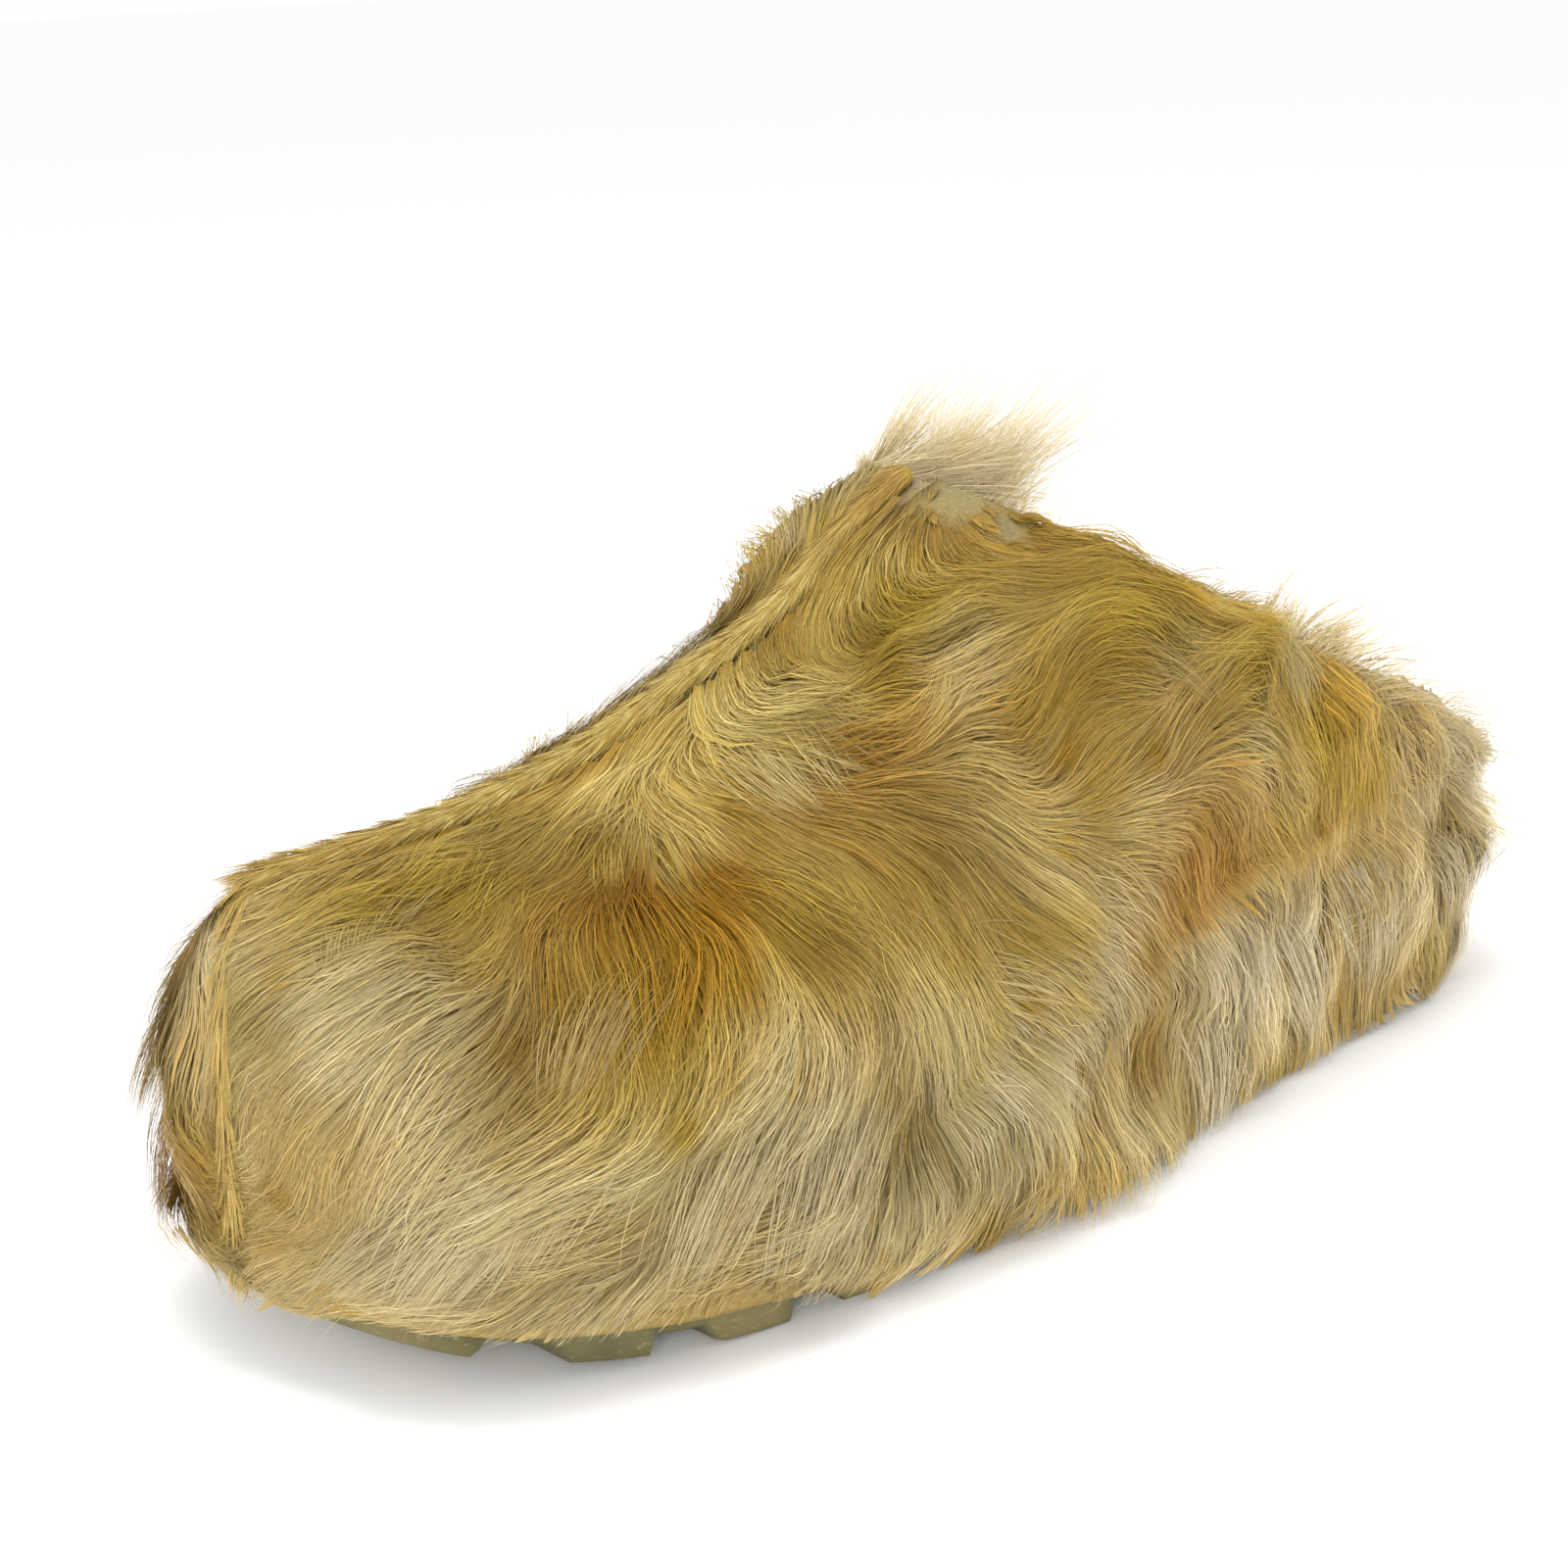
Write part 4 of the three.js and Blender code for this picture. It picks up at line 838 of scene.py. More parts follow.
class Region:
    """A stretch of the coat: its locks, its small clumps, and hair grown along them."""

    def __init__(self, seed, c_range, w_range, wanted, from_vamp, length, spacing, nodes):
        self.draw = np.random.default_rng(seed)
        self.c_range = c_range
        self.w_range = w_range
        self.wanted = wanted
        self.from_vamp = from_vamp
        self.length = length
        self.nodes = nodes
        lock_count, clump_count = spacing
        draw = self.draw
        lock_c, lock_w = scatter(draw, lock_count, c_range, w_range, wanted)
        self.lock_roots = surface(lock_c, lock_w)
        self.lock_bend = draw.normal(0, LOCK_BEND, lock_count)
        self.lock_wander = draw.normal(0, LOCK_WANDER, lock_count)
        self.lock_lift = draw.uniform(*LOCK_LIFT, lock_count)
        self.lock_tone = draw.normal(0, LOCK_TONE, lock_count)
        self.lock_warmth = draw.normal(0, LOCK_WARMTH, lock_count)
        clump_c, clump_w = scatter(draw, clump_count, c_range, w_range, wanted)
        self.clumps, _, _, _, _ = self.strands(clump_c, clump_w, draw.uniform(0.7, 1.0, clump_count), 1.0)
        self.clump_tone = draw.normal(0, CLUMP_TONE, clump_count)

    def strands(self, c, w, lift, length_share):
        """Hair paths raised off the hide, from the root up into the coat, each following its lock."""
        draw = self.draw
        count = len(c)
        lock = nearest(self.lock_roots, surface(c, w))
        length = draw.uniform(*self.length, count) * length_share
        ceiling = draw.uniform(0, TOPLINE_SPILL, count)
        wander = self.lock_wander[lock] + draw.normal(0, HAIR_WANDER, count)
        bend = self.lock_bend[lock] + draw.normal(0, HAIR_BEND, count)
        _, _, c_path, w_path = grow(c, w, length, ceiling, wander, bend)
        length = length * clear_share(c_path, w_path, self.from_vamp, draw.uniform(-0.05, 0.2, count))
        points, normals, c_path, w_path = grow(c, w, length, ceiling, wander, bend)
        share = np.linspace(0, 1, HAIR_STEPS + 1)
        rise = 1 - (1 - share) ** 2.2
        depth = hair_depth(c_path, w_path, self.from_vamp)
        wave = 1 + WAVE_RISE * ripples(points, *WAVES) + SMALL_WAVE_RISE * ripples(points, *SMALL_WAVES)
        swell = np.clip(lift * self.lock_lift[lock], 0, 1.35)[:, None] * np.clip(wave, 0.35, 1.5)
        root = depth * ROOT_SHARE * rooted_share(c_path, w_path)
        height = ROOT_LIFT + root + (depth - root) * rise[None, :] * swell
        return points + normals * height[..., None], normals, c_path, w_path, lock

    def colours(self, c_path, w_path, paths, lock, clump, spread, tint):
        """Colour along each hair: darker and warmer at the root, pale at the tip."""
        count, size = paths.shape[:2]
        share = np.linspace(0, 1, size)[None, :, None]
        colour = coat_colour(c_path, w_path, paths)
        # Painted shade where the coat's waves dip and painted highlight on their crests
        crest = np.clip(0.5 + 0.5 * ripples(surface(c_path, w_path), *WAVES), 0, 1)[..., None]
        colour = colour * blend(TROUGH_PAINTED_SHADE, CREST_PAINTED_HIGHLIGHT, crest)
        shade = blend(ROOT_TINT, np.ones(3), share**0.7)
        tip = blend(1.0, TIP_TONE, share**3)
        tone = 1 + self.lock_tone[lock] + self.clump_tone[clump] + self.draw.normal(0, spread, count)
        warmth = self.lock_warmth[lock] + self.draw.normal(0, HAIR_WARMTH, count)
        warm = 1 + warmth[:, None, None] * WARMER
        return np.clip(colour * shade * tip * tone[:, None, None] * warm * np.array(tint), 0, 0.95)

    def add_layer(self, name, count, width, lift, spread, stray_share, tilt, tint, material, parts=1):
        """One layer of the coat: wide wisps low down, or fine hairs on top."""
        draw = self.draw
        c, w = scatter(draw, count, self.c_range, self.w_range, self.wanted)
        lift = draw.uniform(*lift, count)
        stray = draw.uniform(size=count) < stray_share
        lift = np.where(stray, lift * STRAY_LIFT, lift)
        paths, normals, c_path, w_path, lock = self.strands(c, w, lift, draw.uniform(0.7, 1.05, count))
        clump = nearest(self.clumps[:, 0], paths[:, 0])
        pull = np.where(stray, 0.0, draw.uniform(0.0, CLUMP_PULL, count))
        paths = pull_to(paths, self.clumps, clump, pull)
        tilt = draw.uniform(-tilt, tilt, count)
        widths = draw.uniform(*width, count)
        colours = self.colours(c_path, w_path, paths, lock, clump, spread, tint)
        for number, chosen in enumerate(np.array_split(np.arange(count), parts), 1):
            piece_name = name if parts == 1 else f"{name}_{number}"
            piece = ribbons(piece_name, paths[chosen], normals[chosen], tilt[chosen],
                            widths[chosen], colours[chosen], draw)
            dress(piece, material, "fur", *self.nodes)


def pull_to(paths, guides, which, strength):
    """Hair drawn towards its guide, more towards its tip."""
    share = np.linspace(0, 1, paths.shape[1])[None, :, None]
    own = guides[which]
    spread = (paths[:, :1] - own[:, :1]) * (1 - 0.75 * share)
    return paths + (own + spread - paths) * share**1.2 * np.reshape(strength, (-1, 1, 1))


def ribbons(name, paths, normals, tilt, width, colours, draw):
    """One mesh of flat tapering hairs along paths, with a colour at each vertex."""
    count, size = paths.shape[:2]
    steps = size - 1
    way = unit(np.gradient(paths, axis=1))
    flat = unit(np.cross(way, normals))
    raised_way = np.cross(flat, way)
    across = flat * np.cos(tilt)[:, None, None] + raised_way * np.sin(tilt)[:, None, None]
    share = np.linspace(0, 1, size)
    taper = (0.7 + 0.3 * np.sin(np.pi * share)) * (1 - share**2.5)
    half = across * (width[:, None] * taper / 2)[..., None]
    left = (paths - half)[:, :-1]
    right = (paths + half)[:, :-1]
    body = np.stack([left, right], 2).reshape(count, 2 * steps, 3)
    points = np.concatenate([body, paths[:, -1:]], 1)
    points[..., 2] = np.maximum(points[..., 2], LOWEST_HAIR)
    tone = np.concatenate([np.repeat(colours[:, :-1], 2, 1), colours[:, -1:]], 1)
    pattern = []
    for k in range(steps - 1):
        a = 2 * k
        pattern += [(a, a + 1, a + 3), (a, a + 3, a + 2)]
    pattern.append((2 * steps - 2, 2 * steps - 1, 2 * steps))
    pattern = np.array(pattern)
    start = np.arange(count)[:, None, None] * (2 * steps + 1)
    faces = (pattern[None] + start).reshape(-1, 3)
    piece = new_mesh(name, points.reshape(-1, 3), faces)
    add_tone(piece, tone)
    add_cells(piece, count, steps, pattern)
    length = np.linalg.norm(np.diff(paths, axis=1), axis=-1).sum(1)
    add_lie(piece, width, length, taper, steps, pattern, draw)
    return piece


def add_cells(piece, count, steps, pattern):
    """A small cell of the finish map for each hair."""
    columns = math.ceil(math.sqrt(count * 0.5))
    rows = math.ceil(count / columns)
    share = np.linspace(0, 1, steps + 1)
    u = np.concatenate([np.tile([0.15, 0.85], steps), [0.5]])
    v = 0.1 + 0.8 * np.concatenate([np.repeat(share[:-1], 2), [1.0]])
    index = np.arange(count)
    corner_u = ((index % columns)[:, None] + u[pattern.ravel()][None]) / columns
    corner_v = ((index // columns)[:, None] + v[pattern.ravel()][None]) / rows
    layer = piece.data.uv_layers.new(name="OFBake")
    layer.data.foreach_set("uv", np.stack([corner_u, corner_v], -1).astype(np.float32).ravel())


def add_lie(piece, width, length, taper, steps, pattern, draw):
    """Millimetres across and along each hair, started anywhere, for streaks that follow it."""
    count = len(width)
    sides = np.concatenate([np.tile([-0.5, 0.5], steps), [0.0]])
    full = np.concatenate([np.repeat(taper[:-1], 2), [0.0]])
    share = np.linspace(0, 1, steps + 1)
    down = np.concatenate([np.repeat(share[:-1], 2), [1.0]])
    start_u = draw.uniform(0, 400, count)[:, None]
    start_v = draw.uniform(0, 400, count)[:, None]
    corner_u = start_u + width[:, None] * (sides * full)[pattern.ravel()][None]
    corner_v = start_v + length[:, None] * down[pattern.ravel()][None]
    layer = piece.data.uv_layers.new(name="lie")
    layer.data.foreach_set("uv", np.stack([corner_u, corner_v], -1).astype(np.float32).ravel())


def repeated(values):
    """A value of each hair, repeated for every point of its path."""
    return np.repeat(values[:, None], HAIR_STEPS + 1, 1)


def arcs(root, start, turn, length):
    """Curved paths that leave a root one way and turn another."""
    share = np.linspace(0, 1, HAIR_STEPS + 1)[None, :, None]
    reach_out = length[:, None, None]
    return root[:, None] + reach_out * (start[:, None] * share + turn[:, None] * share**2 / 2)


# Hair along the topline: place along the foot, length, how steeply it stands, how much it droops,
# the stretch where it is dense, and its share of pale colour with the tone at root and tip
OUTER_EDGE = {
    "at": (0.0, 0.06, 0.12, 0.18, 0.24, 0.3, 0.36, 0.42, 0.455),
    "length": (18, 22, 14, 14, 22, 16, 12, 12, 6),
    "lift": (0.3, 0.5, 0.3, 0.4, 0.8, 0.6, 0.3, 0.45, 0.05),
    "droop": (0.6, 0.6, 0.7, 0.7, 0.6, 0.6, 0.7, 0.6, 0.8),
    "dense": (0.2, 0.34),
    "pale": (0.6, 0.9, 1.2),
}
INNER_EDGE = {
    "at": (0.0, 0.06, 0.12, 0.18, 0.24, 0.3, 0.36, 0.42, 0.455),
    "length": (14, 14, 14, 24, 36, 46, 52, 46, 18),
    "lift": (0.15, 0.2, 0.35, 0.9, 1.2, 1.0, 0.75, 0.4, 0.15),
    "droop": (0.7, 0.7, 0.6, 0.4, 0.2, 0.15, 0.1, 0.1, 0.3),
    "dense": (0.3, 0.44),
    # The inner tuft's pale colour, its tones at root and tip raised further as painted light where it stands
    # in shade
    "pale": (0.8, 1.1, 1.4),
}


def levelled(height, limit):
    """Heights that level off towards a limit."""
    margin = 8.0
    over = np.maximum(height - limit + margin, 0)
    return np.minimum(height, limit - margin) + margin * (1 - np.exp(-over / margin))


EDGE_SEED = 300
EDGE_TUFTS = 34
EDGE_TUFT_PULL = 0.35
EDGE_TUFT_LEAN = 0.16
DENSE_SHARE = 0.5
SHORT_SHARE = 0.5


def edge_roots(draw, side, count, dense):
    """Roots in small tufts under one topline: place along the foot, c, w, tuft, root, way out."""
    tufts = np.sort(draw.uniform(0.0, THROAT_AT, EDGE_TUFTS))
    at = draw.uniform(0.0, THROAT_AT, count)
    at = np.where(draw.uniform(size=count) < DENSE_SHARE, draw.uniform(*dense, count), at)
    tuft = np.abs(at[:, None] - tufts).argmin(1)
    at = np.clip(blend(at, tufts[tuft], EDGE_TUFT_PULL), 0, THROAT_AT - 0.003)
    turn = turn_of(at)
    c = turn if side > 0 else 2 - turn
    w = topline_near(c) - draw.uniform(0.0, 0.08, count)
    point, _, _, normal = hide_frame(c, w)
    root = point + normal * draw.uniform(0.2, 3.0, count)[:, None]
    return at, c, w, tuft, root, normal


def make_edge_hair(material, side, count, edge, nodes):
    """Thin hair standing off the topline in small tufts, blown back to the heel."""
    draw = np.random.default_rng(EDGE_SEED + side)
    at, c, w, tuft, root, normal = edge_roots(draw, side, count, edge["dense"])
    tuft_lean = draw.normal(0, EDGE_TUFT_LEAN, (EDGE_TUFTS, 3))[tuft]
    tuft_size = draw.uniform(0.55, 1.1, EDGE_TUFTS)[tuft]
    back = np.array([-1.0, 0, 0])
    up = np.array([0, 0, 1.0])
    short = draw.uniform(size=count) < SHORT_SHARE
    lift = table_value(edge, "lift", at) * draw.uniform(0.5, 1.3, count) * np.where(short, 1.5, 0.8)
    start = normal * draw.uniform(0.05, 0.4, count)[:, None]
    start = start + back * draw.uniform(0.7, 1.0, count)[:, None]
    start = unit(start + up * lift[:, None] + tuft_lean)
    droop = table_value(edge, "droop", at) * draw.uniform(0.5, 1.5, count)
    turn_down = back * 0.2 - up * droop[:, None]
    turn_down = turn_down + draw.normal(0, 0.14, (count, 3)) + tuft_lean
    length = table_value(edge, "length", at) * draw.uniform(0.5, 1.05, count) * tuft_size
    length = length * np.where(short, 0.6, 1.0)
    paths = arcs(root, start, turn_down, length)
    paths[..., 2] = levelled(paths[..., 2], HIGHEST_HAIR)
    share = np.linspace(0, 1, HAIR_STEPS + 1)[None, :, None]
    spots = coat_colour(repeated(c), repeated(w), paths)
    own = (1 + draw.normal(0, 0.08, count))[:, None, None]
    pale, root_tone, tip_tone = edge["pale"]
    colours = blend(spots, PALE, pale) * blend(root_tone, tip_tone, share) * own
    piece = ribbons(f"topline_hair_{SIDE_NAMES[side]}", paths, repeated(normal),
                    draw.uniform(-1, 1, count), HAIR_WIDTH * draw.uniform(0.7, 1.3, count), colours, draw)
    dress(piece, material, "fur", *nodes)


# Locks listed one by one: side, place along the foot, w, lie in degrees, length, spread, how far it stands
# off the coat, turn in degrees, colour at the tip
LOCKS = (
    (1, 0.03, 0.14, 10, 26, 4.5, 1.0, -40, PALE),
    (1, 0.06, 0.14, 0, 27, 4.5, 1.0, -40, PALE),
    (1, 0.1, 0.12, -15, 24, 4.5, 0.9, -40, PALE),
    (-1, 0.02, 0.1, -30, 22, 5.0, 0.4, -40, PALE),
    (1, 0.03, -0.28, -30, 28, 4.5, 1.1, -50, PALE),
    (1, 0.06, -0.32, -40, 28, 4.5, 1.1, -50, PALE),
    (1, 0.1, -0.34, -55, 26, 4.5, 0.9, -40, PALE),
    (1, 0.2, -0.3, -70, 26, 4.5, 0.5, -40, PALE),
    (1, 0.3, -0.4, -80, 26, 4.5, 0.5, 30, PALE),
    (1, 0.38, -0.5, -90, 28, 5.0, 0.5, -30, PALE),
    (-1, 0.03, -0.15, -60, 24, 5.0, 0.5, -40, PALE),
    (1, 0.16, 0.2, -60, 24, 5.0, 0.3, -30, CREAM),
    (1, 0.25, 0.3, -75, 30, 6.0, 0.4, -30, YELLOW),
    (1, 0.22, 0.28, -70, 28, 5.0, 0.35, -20, YELLOW),
    (1, 0.32, 0.42, -40, 20, 4.0, 0.4, -70, CREAM),
    (1, 0.36, 0.5, -50, 20, 4.0, 0.35, -60, STRAW),
    (1, 0.4, 0.5, -60, 20, 4.0, 0.35, 50, STRAW),
    (1, 0.43, 0.38, -40, 20, 4.0, 0.3, -60, CREAM),
    (1, 0.37, 0.66, -30, 16, 4.0, 0.45, -50, CREAM),
    (1, 0.3, 0.5, -30, 16, 4.0, 0.45, -50, CREAM),
    (1, 0.58, 0.2, -40, 28, 5.0, 0.3, -30, PALE),
    (1, 0.58, 0.12, -45, 28, 5.0, 0.35, -30, PALE),
    (1, 0.585, 0.04, -50, 28, 5.0, 0.35, -30, PALE),
    (1, 0.59, -0.06, -60, 28, 5.0, 0.35, -30, PALE),
    (1, 0.6, -0.18, -75, 26, 5.0, 0.3, -30, PALE),
    (1, 0.765, 0.81, -160, 18, 1.5, 0.45, 50, YELLOW),
    (1, 0.66, 0.86, -120, 26, 4.0, 0.35, 50, CREAM),
    (1, 0.63, 0.84, -110, 24, 4.0, 0.35, 60, CREAM),
    (1, 0.6, 0.8, -100, 24, 4.0, 0.3, 70, YELLOW),
    (1, 0.88, 0.22, -150, 26, 4.0, 0.5, 25, PALE),
    (1, 0.92, 0.14, -150, 26, 4.0, 0.5, 25, PALE),
    (1, 0.95, 0.08, -160, 22, 4.0, 0.5, 25, CREAM),
    (1, 0.79, 0.16, -145, 28, 4.0, 0.5, 20, PALE),
    (1, 0.73, 0.1, -140, 28, 4.0, 0.5, 20, PALE),
    (1, 0.84, 0.5, -150, 24, 4.0, 0.45, 25, CREAM),
    (1, 0.93, 0.82, -150, 18, 4.0, 0.5, 60, CREAM),
    (1, 0.9, 0.86, -170, 18, 3.5, 0.5, 50, CREAM),
    (-1, 0.95, 0.3, -120, 22, 5.0, 0.6, -40, ORANGE),
    (-1, 0.96, 0.1, -110, 22, 5.0, 0.6, -40, ORANGE),
    (-1, 0.55, 0.5, -60, 26, 5.0, 0.35, -30, CREAM),
    (-1, 0.4, 0.4, -70, 26, 5.0, 0.35, -30, CREAM),
    (-1, 0.75, 0.3, -140, 26, 5.0, 0.35, 30, CREAM),
)


LOCKS_SEED = 401

# Roughly how many millimetres one unit of c and of w is, and how far the tips draw together
C_LENGTH = 80
W_LENGTH = 55
TIP_PULL = 0.55


def grow_lock(draw, lock, count):
    """One lock: a bunch of hairs whose tips draw together, with their colours and ways out."""
    side, at, up, lie, length, spread, stand, turn, tip_colour = lock
    share = np.linspace(0, 1, HAIR_STEPS + 1)[None, :, None]
    middle = float(turn_of(at)) if side > 0 else 2 - float(turn_of(at))
    c = np.full(count, middle) + draw.normal(0, 0.3, count) * spread / C_LENGTH
    w = np.full(count, up) + draw.normal(0, 0.35, count) * spread / W_LENGTH
    c = np.clip(c, 0.004, 0.996) if side > 0 else np.clip(c, 1.004, 1.996)
    w = np.minimum(w, topline_near(c) - draw.uniform(0.02, 0.08, count))
    point, by_c, by_w, normal = hide_frame(c, w)
    along, upward = ways_on_hide(by_c, by_w)
    heelward = -along * side
    first = np.radians(lie + draw.normal(0, 9, count))[:, None]
    last = first + math.radians(turn)
    height = hair_depth(c, w, float(up > 0)) * draw.uniform(0.3, 0.75, count)
    root = point + normal * height[:, None]
    start = heelward * np.cos(first) + upward * np.sin(first)
    start = start + normal * (stand * draw.uniform(0.6, 1.2, count))[:, None]
    bend = heelward * np.cos(last) + upward * np.sin(last) - start * 0.5
    bend = bend - np.array([0, 0, 0.25]) - normal * stand * 0.9
    path = arcs(root, unit(start), bend * 0.9, length * draw.uniform(0.55, 1.0, count))
    guide = path.mean(0, keepdims=True)
    path = path + (guide - path) * TIP_PULL * share**1.5
    tone = coat_colour(repeated(c), repeated(w), path)
    # The roots are darkened as painted shadow under the lock, the tips blended towards the tip colour and
    # brightened
    tone = blend(tone * 0.72, blend(tone, tip_colour, 0.6) * 1.12, share**1.2)
    tone = tone * (1 + draw.normal(0, 0.1, count))[:, None, None]
    return path, tone, repeated(normal)


def make_locks(material, count):
    """The listed locks, as one piece for each side."""
    draw = np.random.default_rng(LOCKS_SEED)
    for side, name in SIDE_NAMES.items():
        grown = [grow_lock(draw, lock, count) for lock in LOCKS if lock[0] == side]
        paths, colours, normals = (np.concatenate(values) for values in zip(*grown))
        total = len(paths)
        width = HAIR_WIDTH * draw.uniform(0.8, 1.5, total)
        piece = ribbons(f"locks_{name}", paths, normals, draw.uniform(-0.6, 0.6, total), width, colours, draw)
        dress(piece, material, "fur", f"vamp_fur_{name}", "footbed_fur")


# Materials

def new_material(name, roughness, specular=0.4, coat=0.0):
    """A material with its node tree and its one shader."""
    material = bpy.data.materials.new(name)
    material.use_nodes = True
    shader = material.node_tree.nodes["Principled BSDF"]
    shader.inputs["Roughness"].default_value = roughness
    shader.inputs["Specular IOR Level"].default_value = specular
    shader.inputs["Coat Weight"].default_value = coat
    return material, material.node_tree, shader


def add_noise(tree, scale, detail=3.0, stretch=None):
    """Noise over the object, scale being its waves in a metre, stretched if asked."""
    place = tree.nodes.new("ShaderNodeTexCoord")
    noise = tree.nodes.new("ShaderNodeTexNoise")
    noise.inputs["Scale"].default_value = scale
    noise.inputs["Detail"].default_value = detail
    source = place.outputs["Object"]
    if stretch:
        mapping = tree.nodes.new("ShaderNodeMapping")
        mapping.inputs["Scale"].default_value = stretch
        tree.links.new(source, mapping.inputs["Vector"])
        source = mapping.outputs["Vector"]
    tree.links.new(source, noise.inputs["Vector"])
    return noise.outputs["Fac"]


def add_ramp(tree, source, stops):
    """Colours between given places of a value."""
    ramp = tree.nodes.new("ShaderNodeValToRGB")
    while len(ramp.color_ramp.elements) < len(stops):
        ramp.color_ramp.elements.new(0.5)
    for element, (place, colour) in zip(ramp.color_ramp.elements, stops):
        element.position = place
        element.color = (*colour, 1)
    tree.links.new(source, ramp.inputs["Fac"])
    return ramp.outputs["Color"]


def mixed(tree, first, second, factor, kind="MIX"):
    """Two colours mixed by a value or a fixed share."""
    mix = tree.nodes.new("ShaderNodeMix")
    mix.data_type = "RGBA"
    mix.blend_type = kind
    sockets = {s.identifier: s for s in mix.inputs}
    for socket, source in ((sockets["A_Color"], first), (sockets["B_Color"], second)):
        if isinstance(source, bpy.types.NodeSocket):
            tree.links.new(source, socket)
        else:
            socket.default_value = (*source, 1)
    if isinstance(factor, bpy.types.NodeSocket):
        tree.links.new(factor, sockets["Factor_Float"])
    else:
        sockets["Factor_Float"].default_value = factor
    return next(s for s in mix.outputs if s.identifier == "Result_Color")


def shade_base(tree, shader, colour, shade):
    """Base colour darkened by a shade."""
    tree.links.new(mixed(tree, colour, shade, 1.0, "MULTIPLY"), shader.inputs["Base Color"])


def add_bump(tree, shader, source, distance, strength=0.6):
    """Small relief in the shading, its depth in metres."""
    bump = tree.nodes.new("ShaderNodeBump")
    bump.inputs["Distance"].default_value = distance
    bump.inputs["Strength"].default_value = strength
    tree.links.new(source, bump.inputs["Height"])
    tree.links.new(bump.outputs["Normal"], shader.inputs["Normal"])


def rough_range(tree, shader, source, low, high):
    """Roughness that varies with a value."""
    spread = tree.nodes.new("ShaderNodeMapRange")
    spread.inputs["To Min"].default_value = low
    spread.inputs["To Max"].default_value = high
    tree.links.new(source, spread.inputs["Value"])
    tree.links.new(spread.outputs["Result"], shader.inputs["Roughness"])


def tone_of(tree):
    """The colour stored at each vertex."""
    attribute = tree.nodes.new("ShaderNodeAttribute")
    attribute.attribute_name = "tone"
    return attribute.outputs["Color"]


def make_hair_material(name, roughness=0.5):
    material, tree, shader = new_material(name, roughness, specular=0.18)
    speck = add_noise(tree, 900)
    shade = add_ramp(tree, speck, ((0.3, (0.84, 0.82, 0.78)), (0.7, (1.0, 1.0, 1.0))))
    shade_base(tree, shader, tone_of(tree), shade)
    rough_range(tree, shader, speck, roughness - 0.1, roughness + 0.15)
    add_bump(tree, shader, add_noise(tree, 2400), 0.0001, 0.3)
    return material


def make_wisp_material():
    """Wisps of many hairs side by side, drawn by streaks that run along them."""
    material, tree, shader = new_material("fur_wisps", 0.55, specular=0.18)
    lie = tree.nodes.new("ShaderNodeUVMap")
    lie.uv_map = "lie"
    stretch = tree.nodes.new("ShaderNodeMapping")
    stretch.inputs["Scale"].default_value = (4.5, 0.09, 1)
    tree.links.new(lie.outputs["UV"], stretch.inputs["Vector"])
    streak = tree.nodes.new("ShaderNodeTexNoise")
    streak.inputs["Scale"].default_value = 1.0
    streak.inputs["Detail"].default_value = 3.0
    tree.links.new(stretch.outputs["Vector"], streak.inputs["Vector"])
    shade = add_ramp(tree, streak.outputs["Fac"], ((0.36, (0.8, 0.76, 0.66)), (0.62, (1.0, 1.0, 1.0))))
    shade_base(tree, shader, tone_of(tree), shade)
    rough_range(tree, shader, streak.outputs["Fac"], 0.65, 0.45)
    add_bump(tree, shader, streak.outputs["Fac"], 0.0002, 0.5)
    return material


def make_underfur_material():
    material, tree, shader = new_material("underfur", 0.85, specular=0.12)
    fine = add_noise(tree, 1500, 4)
    shade = add_ramp(tree, fine, ((0.32, (0.75, 0.7, 0.6)), (0.68, (1.0, 1.0, 1.0))))
    shade_base(tree, shader, tone_of(tree), shade)
    add_bump(tree, shader, fine, 0.0004, 0.6)
    return material


def make_rubber_material():
    material, tree, shader = new_material("olive_rubber", 0.6, specular=0.35)
    cloud = add_noise(tree, 60, 6)
    olive = add_ramp(tree, cloud, ((0.3, linear(88, 82, 50)), (0.55, linear(112, 104, 66)),
                                   (0.75, linear(132, 124, 84))))
    scuff = add_ramp(tree, add_noise(tree, 420, 5, (1, 1, 3)), ((0.6, (0, 0, 0)), (0.8, (1, 1, 1))))
    tree.links.new(mixed(tree, olive, linear(150, 142, 104), scuff), shader.inputs["Base Color"])
    rough_range(tree, shader, cloud, 0.5, 0.8)
    add_bump(tree, shader, add_noise(tree, 1100, 6), 0.0003, 0.5)
    return material


def make_leather_material(name, dark, pale, roughness):
    """Smooth leather with a fine grain."""
    material, tree, shader = new_material(name, roughness, specular=0.4, coat=0.08)
    cloud = add_noise(tree, 45, 5)
    tone = add_ramp(tree, cloud, ((0.3, dark), (0.7, pale)))
    place = tree.nodes.new("ShaderNodeTexCoord")
    grain = tree.nodes.new("ShaderNodeTexVoronoi")
    grain.inputs["Scale"].default_value = 1100
    tree.links.new(place.outputs["Object"], grain.inputs["Vector"])
    shade = add_ramp(tree, grain.outputs["Distance"], ((0.05, (1, 1, 1)), (0.6, (0.8, 0.78, 0.74))))
    shade_base(tree, shader, tone, shade)
    rough_range(tree, shader, cloud, roughness - 0.12, roughness + 0.12)
    add_bump(tree, shader, grain.outputs["Distance"], 0.0002, 0.5)
    return material


# Pieces

def ring_of_places(count):
    """Places round the foot for a loop: heel, outer side, toe, inner side."""
    outer = np.linspace(0, 1, count + 1)
    return np.concatenate([outer, 2 - outer[-2:0:-1]])


